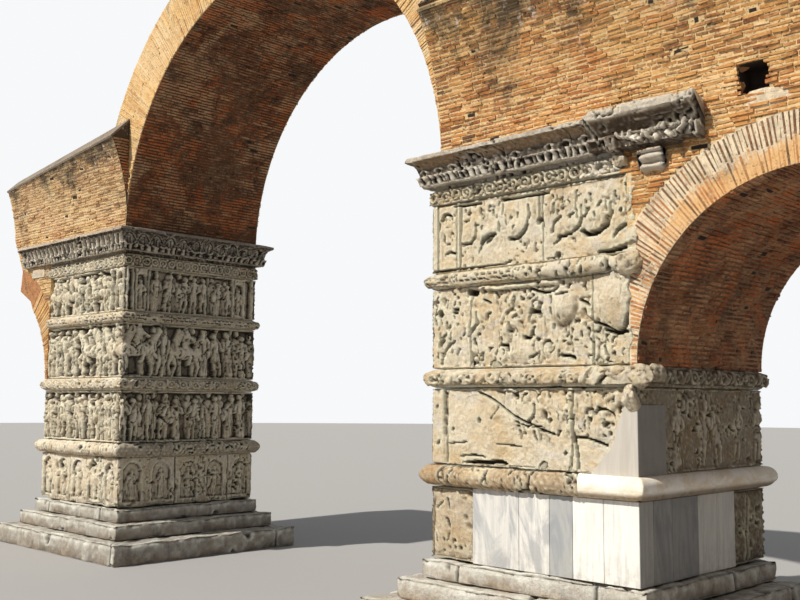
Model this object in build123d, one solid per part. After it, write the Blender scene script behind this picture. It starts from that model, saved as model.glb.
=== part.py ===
"""A ruined triumphal arch of brick and marble, at its real size in millimetres.

Two square piers of rubble masonry, faced with carved marble courses, carry a brick barrel arch.
Beside the right pier a lower side arch runs to a plain outer pier. On the front, the springing of a
lost vault leans out over the piers. The left side arch is lost but for its first courses.
X runs along the row of piers, Y goes from the front to the back, Z is up. Lengths along X are first
worked out from the axis of the main opening, and then moved so that the origin is under the centre.
"""

import math
import os

from build123d import *

# Plan
main_opening = 9700
side_opening = 4800
pier_width = 3800
pier_depth = 3800
outer_pier_width = 2800
facing = 350
facing_setback = 110

# Levels of the steps and courses, from the ground up
step_tops = [480, 820, 1130]
step_runs_x = [1000, 480, 140]
step_runs_y = [620, 300, 80]
plinth_top = 2270
torus_top = 2600
lower_relief_top = 3810
lower_band_top = 4110
middle_relief_top = 5400
middle_band_top = 5650
frieze_bottom = {"left": 6700, "right": 6770}
frieze_top = {"left": 7000, "right": 7030}
spring_level = 7650

# Mouldings, as far as they stand out from the pier's face
torus_reach = 150
band_reach = 70
band_swell = 35
frieze_reach = 40
leaf_reach = 110
hollow_reach = 160
cornice_reach = 330
leaf_height = 80
lip_height = 90
weathering_height = 90

# What is left of the left frieze and cornice beyond their pier, along the front of the broken wall
cornice_run_on = 1350
frieze_run_on = 270
frieze_stump_length = 720
frieze_stump_height = 230

# Niches carved in the left plinth
niches_per_side = 5
niche_width = 470
niche_depth = 70
niche_sill = 150
niche_head_margin = 110

# New slabs, patch and reset cornice block on the right pier
slab_joint = 6
front_corner_block = 880
front_slab_widths = [890, 550, 400, 510]
side_slab_widths = [500, 740, 570, 560]
patch_width = 760
patch_height = 960
patch_return = 720
patch_edge = [(0.74, 1), (0.57, 0.7), (0.5, 0.45), (0.39, 0.33), (0.22, 0.2)]  # shares of its width and height
block_length = 1680
block_overlap = 490
block_drop = 100
block_reach = 350
block_weathering = 90
block_end_stop = 150
block_tail_length = 860
block_tail_depth = 300
bracket_width = 400
bracket_height = 310
bracket_reach = 150
bracket_offset = 230

# Brick arches
main_ring = 1240
main_arch_drop = 230      # its centre lies below the cornices' tops
main_arch_offset = 80     # and right of the opening's middle
main_arch_setback = 135   # mean setback of its feet from the piers' faces
side_ring = 690

# Springing of the lost vault, along the front
vault_start = 300
vault_room = 900
coping_thickness = 60
coping_nosing = 30
springer_rise = {"left": 2500, "right": 2800}
springer_setback = {"left": 0, "right": 200}

# Brick walls over the piers
left_wall_fall = 640
break_angle = 50
break_steps = [(140, 230), (630, 310), (-80, 530), (360, 630), (150, 200), (30, 1550)]
right_shoulder_rise = 4350
right_knee_run = 650
right_knee_rise = 3050
right_end_rise = 1950

# Blind beam hole in the wall over the side arch
hole_offset = 655
hole_level = 60
hole_width = 430
hole_height = 420
hole_depth = 700

# Outer pier
footing_height = 480
footing_run = 180
outer_stone_top = 2270

# Places that follow from the sizes above
jamb = main_opening / 2
pier_far = jamb + pier_width
facing_far = pier_far - facing_setback
side_radius = side_opening / 2
side_centre = pier_far + side_radius
side_spring_level = lower_band_top
outer_near = pier_far + side_opening
outer_far = outer_near + outer_pier_width
front = -pier_depth / 2
back = pier_depth / 2
vault_radius = jamb
main_radius = math.hypot(jamb + main_arch_setback, main_arch_drop)
main_centre_level = spring_level - main_arch_drop

parts = {}


def box(x0, x1, y0, y1, z0, z1):
    """An upright block between two corners."""
    return Pos((x0 + x1) / 2, (y0 + y1) / 2, (z0 + z1) / 2) * Box(x1 - x0, y1 - y0, z1 - z0)


def wall(outline, y0=front, y1=back):
    """A wall whose outline is drawn in X and Z, from depth y0 to depth y1."""
    face = Plane.XZ * make_face(Polyline(*outline, close=True))
    return Pos(0, y1, 0) * extrude(face, y1 - y0)


def barrel(x, z, radius):
    """The round space of an arch, run through the whole depth of the wall."""
    return Pos(x, 0, z) * Rot(90, 0, 0) * Cylinder(radius, 2 * pier_depth)


def arch_ring(x, z, radius, thickness):
    """A half-round ring of brick, as deep as the piers."""
    reach = radius + thickness
    ring = barrel(x, z, reach) - barrel(x, z, radius)
    return ring & box(x - reach, x + reach, front, back, z, z + reach)


def core(z0, z1, far=pier_far - facing):
    """The rubble core of the right pier, inside its facing."""
    return box(jamb + facing, far, front + facing, back - facing, z0, z1)


def belt(z0, z1, reach_x=0, reach_y=0):
    """A plain facing course round all four sides of the pier."""
    block = box(jamb - reach_x, pier_far + reach_x, front - reach_y, back + reach_y, z0, z1)
    return block - core(z0, z1)


def open_belt(z0, z1):
    """A plain facing course that leaves out the side where the side arch joins the pier."""
    return box(jamb, facing_far, front, back, z0, z1) - core(z0, z1, facing_far)


def moulded_belt(edge, z0, z1, open_side=False):
    """A moulded course with mitred corners, whose edge(sign, face) draws the moulding on one face."""
    far = facing_far if open_side else pier_far
    span = 2 * (pier_depth + pier_far)
    section_x = Plane.XZ * moulding_section(edge, jamb, far, z0, z1, not open_side)
    section_y = Plane.YZ * moulding_section(edge, front, back, z0, z1, True)
    course = (Pos(0, span / 2, 0) * extrude(section_x, span)) & extrude(section_y, span)
    return course - core(z0, z1, far if open_side else pier_far - facing)


def moulding_section(edge, near, far, z0, z1, far_moulded):
    """The whole section of a course, moulded on its near face and, unless it is open there, its far face."""
    near_lines = edge(-1, near)
    far_lines = edge(1, far) if far_moulded else [Line((far, z0), (far, z1))]
    bottom = Line(near_lines[0] @ 0, far_lines[0] @ 0)
    top = Line(near_lines[-1] @ 1, far_lines[-1] @ 1)
    return make_face([*near_lines, *far_lines, bottom, top])


def torus_edge(sign, face):
    """A half-round moulding."""
    middle = (face + sign * torus_reach, (plinth_top + torus_top) / 2)
    return [ThreePointArc((face, plinth_top), middle, (face, torus_top))]


def band_edge(z0, z1):
    """A carved band: a shallow cushion between two slanted fillets."""
    def edge(sign, face):
        out = face + sign * band_reach
        swell = (out + sign * band_swell, (z0 + z1) / 2)
        return [
            Line((face, z0), (out, z0 + band_swell)),
            ThreePointArc((out, z0 + band_swell), swell, (out, z1 - band_swell)),
            Line((out, z1 - band_swell), (face, z1)),
        ]
    return edge


def frieze_edge(z0, z1):
    """A flat frieze that stands a little proud of the face."""
    def edge(sign, face):
        out = face + sign * frieze_reach
        return [Line((face, z0), (out, z0)), Line((out, z0), (out, z1)), Line((out, z1), (face, z1))]
    return edge


def cornice_edge(z0):
    """The crowning cornice: a slanted leaf row, a hollow that flares out, a lip and a weathered top."""
    lip_top = spring_level - weathering_height
    lip_bottom = lip_top - lip_height
    leaf_top = z0 + leaf_height

    def edge(sign, face):
        leaf = (face + sign * leaf_reach, leaf_top)
        hollow = (face + sign * hollow_reach, (leaf_top + 2 * lip_bottom) / 3)
        tip = face + sign * cornice_reach
        return [
            Line((face, z0), (face + sign * frieze_reach, z0)),
            Line((face + sign * frieze_reach, z0), leaf),
            ThreePointArc(leaf, hollow, (tip, lip_bottom)),
            Line((tip, lip_bottom), (tip, lip_top)),
            Line((tip, lip_top), (face, spring_level)),
        ]
    return edge


def pier_courses(side):
    """The pieces that both carved piers have, drawn for the pier on the right of the opening."""
    z_frieze, z_cornice = frieze_bottom[side], frieze_top[side]
    band_1 = (lower_relief_top, lower_band_top)
    band_2 = (middle_relief_top, middle_band_top)
    frieze = (z_frieze, z_cornice)
    pieces = {
        "core": core(0, lower_band_top) + core(lower_band_top, spring_level, facing_far),
        "base_torus": moulded_belt(torus_edge, plinth_top, torus_top),
        "relief_lower": belt(torus_top, lower_relief_top),
        "band_lower": moulded_belt(band_edge(*band_1), *band_1),
        "relief_middle": open_belt(lower_band_top, middle_relief_top),
        "band_middle": moulded_belt(band_edge(*band_2), *band_2, open_side=True),
        "relief_upper": open_belt(middle_band_top, z_frieze),
        "frieze": moulded_belt(frieze_edge(*frieze), *frieze, open_side=True),
        "cornice": moulded_belt(cornice_edge(z_cornice), z_cornice, spring_level, open_side=True),
    }
    step_bottoms = [0, *step_tops[:-1]]
    for name, z0, z1, run_x, run_y in zip(
            ["step_lower", "step_middle", "step_upper"], step_bottoms, step_tops, step_runs_x, step_runs_y):
        pieces[name] = belt(z0, z1, run_x, run_y)
    return pieces


def niche_cutter():
    """A round-headed niche to be cut into a face that looks towards the front."""
    radius = niche_width / 2
    sill = step_tops[-1] + niche_sill
    spring = plinth_top - niche_head_margin - radius
    outline = [
        Line((-radius, spring), (-radius, sill)),
        Line((-radius, sill), (radius, sill)),
        Line((radius, sill), (radius, spring)),
        ThreePointArc((radius, spring), (0, spring + radius), (-radius, spring)),
    ]
    return Pos(0, niche_depth, 0) * extrude(Plane.XZ * make_face(outline), 2 * niche_depth)


def niched_plinth():
    """The left plinth course, with an arcade of shallow niches on each of its four sides."""
    course = belt(step_tops[-1], plinth_top)
    cutter = niche_cutter()
    sides = [(pier_width, pier_depth / 2), (pier_depth, pier_width / 2)] * 2
    for turn, (length, distance) in enumerate(sides):
        pitch = length / niches_per_side
        to_side = Pos(jamb + pier_width / 2, 0, 0) * Rot(0, 0, 90 * turn)
        for n in range(niches_per_side):
            along = (n - (niches_per_side - 1) / 2) * pitch
            course -= to_side * Pos(along, -distance, 0) * cutter
    return course


def corner_patch():
    """The plain slab let into the broken lower corner of the lowest relief, and its return on the side."""
    top = torus_top + patch_height
    near = pier_far - patch_width
    face = wall([
        (near, torus_top),
        (pier_far, torus_top),
        (pier_far, top),
        *[(near + x * patch_width, torus_top + z * patch_height) for x, z in patch_edge],
    ], front, front + facing)
    return face + box(pier_far - facing, pier_far, front + facing, front + patch_return, torus_top, top)


def new_slabs():
    """The plain slabs of the right plinth: a row on the front, and a row on the side arch's side."""
    z0, z1 = step_tops[-1], plinth_top
    slabs = []
    near = jamb + front_corner_block
    for width in [*front_slab_widths, pier_far - near - sum(front_slab_widths)]:
        slabs.append(box(near + slab_joint, near + width, front, front + facing, z0, z1))
        near += width
    near = front + facing
    for width in side_slab_widths:
        slabs.append(box(pier_far - facing, pier_far, near + slab_joint, near + width, z0, z1))
        near += width
    return Compound(slabs)


def old_plinth_blocks():
    """The weathered old stone that is left of the right plinth, round the room of the new slabs."""
    z0, z1 = step_tops[-1], plinth_top
    side_end = front + facing + sum(side_slab_widths) + slab_joint
    blocks = belt(z0, z1) - box(jamb + front_corner_block, pier_far, front, front + facing, z0, z1)
    return blocks - box(pier_far - facing, pier_far, front, side_end, z0, z1)


def block_room():
    """The space of the reset cornice block and its tail in the wall."""
    near = facing_far - block_overlap
    top = spring_level - block_drop
    bottom = frieze_top["right"]
    shelf = box(near, near + block_length, front - cornice_reach - block_reach, front, bottom, spring_level)
    tail = box(facing_far, facing_far + block_tail_length, front, front + block_tail_depth, bottom, top)
    return shelf, tail


def cornice_block():
    """The larger cornice block that was set again beside the pier, with its tail bedded in the wall."""
    near = facing_far - block_overlap
    far = near + block_length
    top = spring_level - block_drop
    bottom = frieze_top["right"]
    tip = front - block_reach
    lip_top = top - block_weathering
    lip_bottom = lip_top - lip_height
    leaf = (front - leaf_reach, bottom + leaf_height)
    section = make_face([
        Line((front, bottom), (front, top)),
        Line((front, top), (tip, lip_top)),
        Line((tip, lip_top), (tip, lip_bottom)),
        ThreePointArc((tip, lip_bottom), (front - hollow_reach, (leaf[1] + 2 * lip_bottom) / 3), leaf),
        Line(leaf, (front - frieze_reach, bottom)),
        Line((front - frieze_reach, bottom), (front, bottom)),
    ])
    head = Pos(near, 0, 0) * extrude(Plane.YZ * section, block_length)
    stop = box(far - block_end_stop, far, tip, front, bottom, lip_top)
    return head + stop + block_room()[1]


def bracket_block():
    """The stub of a bracket, close under the reset cornice block."""
    near = facing_far + bracket_offset
    top = frieze_top["right"]
    return box(near, near + bracket_width, front - bracket_reach, front, top - bracket_height, top)


def springer_section(radius, side):
    """A bar along the wall's front face, hollowed below by the round of the lost vault."""
    bottom = spring_level + vault_start
    top = spring_level + springer_rise[side] + coping_thickness
    near = jamb + springer_setback[side]
    bar = box(near, outer_far, front - vault_room, front, bottom, top)
    vault = Pos(outer_far, front - vault_radius, spring_level) * Rot(0, 90, 0) * Cylinder(
        radius, 2 * outer_far)
    return bar - vault


def over_slope(side, fall, run, raised=0):
    """All that lies over a slope, which starts on the wall's face and comes down towards the front."""
    start = Vector(jamb, front, spring_level + springer_rise[side] + raised)
    slope = Plane(origin=start, x_dir=Vector(run, 0, -fall), z_dir=Vector(fall, -run, run))
    size = 4 * (jamb + pier_width + side_opening)
    return slope * Pos(0, 0, size / 2) * Box(size, size, size)


def springer(side, far, fall):
    """The leaning first courses of the vault, and the thin coping on their sloping top."""
    run = far - jamb
    reach = box(jamb, far, front - vault_room, front, 0, 2 * spring_level)
    above = over_slope(side, fall, run)
    body = (springer_section(vault_radius, side) - above) & reach
    slab = above - over_slope(side, fall, run, coping_thickness)
    coping = springer_section(vault_radius - coping_nosing, side) & slab & reach
    return body, coping


def broken_edge():
    """The outline of the left wall's broken end, from the lost arch's underside upwards."""
    angle = math.radians(break_angle)
    x = side_centre - side_radius * math.cos(angle)
    z = side_spring_level + side_radius * math.sin(angle)
    outline = [(x, z)]
    for step_x, step_z in break_steps:
        x += step_x
        z += step_z
        outline.append((x, z))
    return outline


def left_walls():
    """The wall over the left pier, and its broken stub with the first courses of the lost side arch."""
    broken = broken_edge()
    far = max(x for x, z in broken)
    top = spring_level + springer_rise["left"]
    fall = left_wall_fall / (far - jamb)
    seam_top = top - fall * (facing_far - jamb)
    within_arch = side_centre - side_radius / 2
    over_pier = wall([
        (0, spring_level),
        (facing_far, spring_level),
        (facing_far, seam_top),
        (jamb, top),
        (0, top),
    ])
    beyond = wall([
        (facing_far, side_spring_level),
        (within_arch, side_spring_level),
        *broken,
        (far, top - left_wall_fall),
        (facing_far, seam_top),
    ])
    beyond -= barrel(side_centre, side_spring_level, side_radius)
    ring_space = barrel(side_centre, side_spring_level, side_radius + side_ring)
    pieces = {
        "left_haunch_wall": over_pier - barrel(-main_arch_offset, main_centre_level, main_radius + main_ring),
        "left_stub_wall": beyond - ring_space,
        "left_side_arch_stub": beyond & ring_space,
    }
    pieces["left_springer"], pieces["left_coping"] = springer("left", far, left_wall_fall)
    for name, piece in pieces.items():
        parts[name] = mirror(piece, about=Plane.YZ)


def right_walls():
    """The wall over the right pier, the side arch with the wall round it, and the vault's springing."""
    ring_reach = main_radius + main_ring
    shoulder = spring_level + right_shoulder_rise
    shoulder_x = main_arch_offset + math.sqrt(ring_reach**2 - (right_shoulder_rise + main_arch_drop)**2)
    knee = (pier_far + right_knee_run, spring_level + right_knee_rise)
    end = (outer_far, spring_level + right_end_rise)
    share = (facing_far - shoulder_x) / (knee[0] - shoulder_x)
    seam = (facing_far, shoulder + share * (knee[1] - shoulder))
    over_pier = wall([(shoulder_x, spring_level), (facing_far, spring_level), seam, (shoulder_x, shoulder)])
    over_arch = wall([
        (facing_far, side_spring_level),
        (outer_far, side_spring_level),
        end,
        knee,
        seam,
    ])
    over_arch -= barrel(side_centre, side_spring_level, side_radius + side_ring)
    over_arch -= block_room()[1]
    over_arch -= Pos(side_centre - hole_offset, front, spring_level + hole_level) * Box(
        hole_width, 2 * hole_depth, hole_height)
    ring = arch_ring(side_centre, side_spring_level, side_radius, side_ring)
    parts["right_haunch_wall"] = over_pier - barrel(main_arch_offset, main_centre_level, ring_reach)
    parts["side_arch_wall"] = over_arch
    parts["side_arch_ring"] = ring - box(jamb, facing_far, 2 * front, 2 * back, 0, spring_level)
    parts["right_springer"], parts["right_coping"] = springer("right", outer_far, 0)


def outer_pier():
    """The plain pier at the far end of the side arch."""
    parts["outer_pier_footing"] = box(
        outer_near - footing_run, outer_far + footing_run, front - footing_run, back + footing_run,
        0, footing_height)
    parts["outer_pier_stone"] = box(outer_near, outer_far, front, back, footing_height, outer_stone_top)
    parts["outer_pier_brick"] = box(outer_near, outer_far, front, back, outer_stone_top, side_spring_level)


def front_run(edge, x0, x1):
    """A stretch of a moulding along the front alone, against the wall's face."""
    lines = edge(-1, front)
    section = make_face([*lines, Line(lines[-1] @ 1, lines[0] @ 0)])
    return Pos(x0, 0, 0) * extrude(Plane.YZ * section, x1 - x0)


def left_pier():
    """The left pier, the right one's mirror image, with its carved plinth whole.

    Its frieze and cornice run on beyond it, as far as they are left along the broken wall.
    """
    pieces = pier_courses("left")
    pieces["plinth"] = niched_plinth()
    bottom, top = frieze_bottom["left"], frieze_top["left"]
    frieze_end = facing_far + frieze_run_on
    stump_end = frieze_end + frieze_stump_length
    pieces["frieze"] += box(facing_far, frieze_end, front - frieze_reach, front, bottom, top)
    pieces["frieze"] += box(
        frieze_end, stump_end, front - frieze_reach, front, top - frieze_stump_height, top)
    pieces["cornice"] += front_run(cornice_edge(top), facing_far, facing_far + cornice_run_on)
    for name, piece in pieces.items():
        parts[f"left_{name}"] = mirror(piece, about=Plane.YZ)


def right_pier():
    """The right pier, with its new slabs, its patched corner and the reset cornice block."""
    pieces = pier_courses("right")
    shelf = block_room()[0]
    pieces["cornice"] -= shelf
    pieces["relief_patch"] = corner_patch()
    pieces["relief_lower"] -= pieces["relief_patch"]
    pieces["plinth_old_blocks"] = old_plinth_blocks()
    pieces["plinth_new_slabs"] = new_slabs()
    pieces["cornice_block"] = cornice_block()
    pieces["bracket_block"] = bracket_block()
    for name, piece in pieces.items():
        parts[f"right_{name}"] = piece


def main_arch():
    """The main arch's ring, down to the cornices it stands on."""
    ring = arch_ring(main_arch_offset, main_centre_level, main_radius, main_ring)
    parts["main_arch_ring"] = ring - box(
        -pier_far, pier_far, 2 * front, 2 * back, 0, spring_level)


left_pier()
right_pier()
main_arch()
left_walls()
right_walls()
outer_pier()

left_end = -max(x for x, z in broken_edge())
right_end = outer_far + footing_run
to_origin = Pos(-(left_end + right_end) / 2, 0, 0)

os.makedirs("parts", exist_ok=True)
for name, piece in parts.items():
    export_step(to_origin * piece, f"parts/{name}.step")
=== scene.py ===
from math import asin, cos, degrees, hypot, pi, radians, sin, sqrt, tan
from types import SimpleNamespace

import bmesh
import bpy
import numpy as np
from mathutils import Matrix, Vector, noise
from numpy.random import default_rng


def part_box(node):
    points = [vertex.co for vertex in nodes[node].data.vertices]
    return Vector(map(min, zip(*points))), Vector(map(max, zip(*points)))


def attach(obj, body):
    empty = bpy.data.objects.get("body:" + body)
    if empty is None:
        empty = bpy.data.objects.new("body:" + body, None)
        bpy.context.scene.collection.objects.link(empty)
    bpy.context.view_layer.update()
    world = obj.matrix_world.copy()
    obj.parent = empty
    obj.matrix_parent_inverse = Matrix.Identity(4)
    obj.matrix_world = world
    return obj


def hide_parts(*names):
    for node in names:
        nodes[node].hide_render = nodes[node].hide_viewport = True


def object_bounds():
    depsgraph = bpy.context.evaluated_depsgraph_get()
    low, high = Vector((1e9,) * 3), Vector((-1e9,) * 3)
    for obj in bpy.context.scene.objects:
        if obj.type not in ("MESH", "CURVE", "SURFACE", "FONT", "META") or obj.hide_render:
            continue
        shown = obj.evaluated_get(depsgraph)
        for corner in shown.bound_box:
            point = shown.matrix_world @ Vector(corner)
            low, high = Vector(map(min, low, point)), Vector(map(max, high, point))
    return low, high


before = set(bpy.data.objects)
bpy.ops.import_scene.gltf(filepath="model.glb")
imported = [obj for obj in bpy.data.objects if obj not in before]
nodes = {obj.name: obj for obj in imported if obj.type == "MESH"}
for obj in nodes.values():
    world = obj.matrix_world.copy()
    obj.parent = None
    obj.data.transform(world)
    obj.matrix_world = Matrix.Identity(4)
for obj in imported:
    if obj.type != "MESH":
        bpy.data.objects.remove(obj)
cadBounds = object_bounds()
scene = bpy.context.scene
print("frame loaded:", len(nodes), "nodes")


# Places taken from the frame, in metres

def span(node, axis):
    low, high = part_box(node)
    return low[axis], high[axis]


def pierPlan(side):
    near, far = (0, 1) if side == "right" else (1, 0)
    x, y = (span(side + "_relief_lower", axis) for axis in (0, 1))
    openFar = span(side + "_relief_middle", 0)[far]
    return SimpleNamespace(near=x[near], far=x[far], openFar=openFar, front=y[0], back=y[1])


piers = {side: pierPlan(side) for side in ["left", "right"]}
leftPier, rightPier = piers["left"], piers["right"]
front, back = rightPier.front, rightPier.back

middle = (leftPier.near + rightPier.near) / 2
vaultRadius = rightPier.near - middle
springerNear = {"left": span("left_springer", 0)[1], "right": span("right_springer", 0)[0]}
spring, mainTop = span("main_arch_ring", 2)
ringLook = {"centreDrop": 0.23, "thick": 1.24}   # the main arch's centre lies below its feet
mainZ = spring - ringLook["centreDrop"]
mainOuter = mainTop - mainZ
mainArch = SimpleNamespace(x=sum(span("main_arch_ring", 0)) / 2, z=mainZ,
    inner=mainOuter - ringLook["thick"], outer=mainOuter)

sideZ, sideTop = span("side_arch_ring", 2)
sideOuter = sideTop - sideZ
sideX = span("side_arch_ring", 0)[1] - sideOuter
sideArch = SimpleNamespace(x=sideX, z=sideZ, inner=sideX - rightPier.far, outer=sideOuter)
lostArch = SimpleNamespace(x=2 * middle - sideX, z=sideZ, inner=sideArch.inner, outer=sideOuter)

wallLook = {
    "outerNear": span("outer_pier_stone", 0)[0],
    "outerFar": span("outer_pier_stone", 0)[1],
    "stoneTop": span("outer_pier_stone", 2)[1],
    "springerRise": {"left": 2.5, "right": 2.8},   # the slope's upper edge, over the spring
    "leftFall": 0.64,
    "shoulder": 4.35,                              # the right wall's top where it leaves the ring
    "kneeRun": 0.65,
    "kneeRise": 3.05,
    "endRise": 1.95,
    "breakAngle": 50,
    "breakSteps": [(0.14, 0.23), (0.63, 0.31), (-0.08, 0.53), (0.36, 0.63), (0.15, 0.2), (0.03, 1.55)],
    "hole": (0.655, 0.06, 0.43, 0.42),             # from the side arch's axis, over the spring, width, height
}
leftFar = span("left_stub_wall", 0)[0]


# Camera, light and stage

cameraLook = {"fromMiddle": (15.842, -13.769, 3.579), "turn": 44.599, "tilt": 5.858, "roll": 0.37,
    "lens": 44.82}
lightLook = {"sunFrom": (-0.34, -1, 1.08), "sun": 4.8, "soft": 1, "sunColor": (1, 0.96, 0.89),
    "sky": (0.88, 0.93, 1), "skyStrength": 0.31, "backdrop": (0.93, 0.94, 0.95),
    "floor": (0.34, 0.33, 0.32)}


def linked(name, data):
    made = bpy.data.objects.new(name, data)
    scene.collection.objects.link(made)
    return made


def makeCamera():
    data = bpy.data.cameras.new("camera")
    data.lens = cameraLook["lens"]
    data.sensor_width = 36
    data.clip_end = 500
    camera = linked("camera", data)
    turn = Matrix.Rotation(radians(cameraLook["turn"]), 4, "Z")
    tilt = Matrix.Rotation(radians(90 + cameraLook["tilt"]), 4, "X")
    roll = Matrix.Rotation(radians(cameraLook["roll"]), 4, "Z")
    place = Vector(cameraLook["fromMiddle"]) + Vector((middle, 0, 0))
    camera.matrix_world = Matrix.Translation(place) @ turn @ tilt @ roll
    scene.camera = camera


def makeLight():
    data = bpy.data.lights.new("sun", "SUN")
    data.energy = lightLook["sun"]
    data.angle = radians(lightLook["soft"])
    data.color = lightLook["sunColor"]
    sun = linked("sun", data)
    sun.rotation_mode = "QUATERNION"
    sun.rotation_quaternion = Vector(lightLook["sunFrom"]).to_track_quat("Z", "Y")
    world = bpy.data.worlds.new("sky")
    scene.world = world
    world.use_nodes = True
    tree = world.node_tree
    tree.nodes.clear()
    out, mix, rays, either, *lights = (tree.nodes.new("ShaderNode" + kind) for kind in [
        "OutputWorld", "MixShader", "LightPath", "Math", "Background", "Background"])
    looks = [(lightLook["sky"], lightLook["skyStrength"]), (lightLook["backdrop"], 1)]
    for n, (light, (color, strength)) in enumerate(zip(lights, looks)):
        light.inputs["Color"].default_value = (*color, 1)
        light.inputs["Strength"].default_value = strength
        tree.links.new(light.outputs[0], mix.inputs[n + 1])
    either.operation = "MAXIMUM"
    tree.links.new(rays.outputs["Is Camera Ray"], either.inputs[0])
    tree.links.new(rays.outputs["Is Glossy Ray"], either.inputs[1])
    tree.links.new(either.outputs[0], mix.inputs["Fac"])
    tree.links.new(mix.outputs[0], out.inputs["Surface"])


def makeStage():
    bm = bmesh.new()
    bmesh.ops.create_circle(bm, cap_ends=True, segments=64, radius=150)
    mesh = bpy.data.meshes.new("floor")
    bm.to_mesh(mesh)
    bm.free()
    floor = linked("floor", mesh)
    material = bpy.data.materials.new("floor")
    material.use_nodes = True
    shader = material.node_tree.nodes["Principled BSDF"]
    shader.inputs["Base Color"].default_value = (*lightLook["floor"], 1)
    shader.inputs["Roughness"].default_value = 0.9
    mesh.materials.append(material)


makeCamera()
makeLight()
makeStage()
scene.view_settings.view_transform = "Standard"
print("camera, light and stage made")


# Materials

class Shading:
    def __init__(self, name):
        self.material = bpy.data.materials.new(name)
        self.material.use_nodes = True
        self.tree = self.material.node_tree
        self.shader = self.tree.nodes["Principled BSDF"]
        self.place = self.add("TexCoord").outputs["Object"]

    def add(self, kind, **inputs):
        node = self.tree.nodes.new("ShaderNode" + kind)
        for name, value in inputs.items():
            self.plug(value, node.inputs[name.replace("_", " ")])
        return node

    def plug(self, value, socket):
        if isinstance(value, bpy.types.NodeSocket):
            self.tree.links.new(value, socket)
        else:
            socket.default_value = value

    def attribute(self, name):
        node = self.add("Attribute")
        node.attribute_name = name
        return node.outputs["Fac"]

    def stretched(self, scale):
        return self.add("Mapping", Vector=self.place, Scale=scale).outputs[0]

    def part(self, axis):   # one coordinate of the place
        return self.add("SeparateXYZ", Vector=self.place).outputs[axis]

    def noise(self, scale, detail=4, rough=0.55, at=None, warp=0):
        node = self.add("TexNoise", Vector=at or self.place, Scale=scale, Detail=detail, Roughness=rough,
            Distortion=warp)
        return node.outputs["Fac"]

    def ramp(self, value, low, high, start=0, end=1):
        node = self.add("MapRange", Value=value, From_Min=low, From_Max=high, To_Min=start, To_Max=end)
        node.clamp = True
        return node.outputs["Result"]

    def spots(self, scale, detail, rough, low, high, stretch=None, warp=0):   # noise cut to patches
        at = self.stretched(stretch) if stretch else self.place
        return self.ramp(self.noise(scale, detail, rough, at, warp), low, high)

    def math(self, operation, first, second=0.5):
        node = self.add("Math")
        node.operation = operation
        self.plug(first, node.inputs[0])
        self.plug(second, node.inputs[1])
        return node.outputs[0]

    def mix(self, share, first, second):
        node = self.add("Mix")
        node.data_type = "RGBA"
        node.clamp_factor = True
        self.plug(share, node.inputs["Factor"])
        for value, name in [(first, "A"), (second, "B")]:
            socket = [s for s in node.inputs if s.name == name and s.type == "RGBA"][0]
            self.plug(value if isinstance(value, bpy.types.NodeSocket) else (*value, 1), socket)
        return [s for s in node.outputs if s.type == "RGBA"][0]

    def coat(self, color, cover, share, tint):   # a tint laid over a share of the color
        return self.mix(self.math("MULTIPLY", cover, share), color, tint)

    def coats(self, color, layers):
        for layer in layers:
            color = self.coat(color, *layer)
        return color

    def colors(self, value, stops):
        node = self.add("ValToRGB", Fac=value)
        ramp = node.color_ramp
        while len(ramp.elements) < len(stops):
            ramp.elements.new(0.5)
        for element, (position, color) in zip(ramp.elements, stops):
            element.position = position
            element.color = (*color, 1)
        return node.outputs["Color"]

    def bump(self, height, distance, strength=1, under=None):
        node = self.add("Bump", Height=height, Distance=distance, Strength=strength)
        if under:
            self.plug(under, node.inputs["Normal"])
        return node.outputs["Normal"]

    def finish(self, color, rough, normal=None, gloss=0.3):
        self.plug(color, self.shader.inputs["Base Color"])
        self.plug(rough, self.shader.inputs["Roughness"])
        self.shader.inputs["Specular IOR Level"].default_value = gloss
        if normal:
            self.plug(normal, self.shader.inputs["Normal"])
        return self.material


def scaled(color, share):
    return tuple(min(1, c * share) for c in color)


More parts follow.
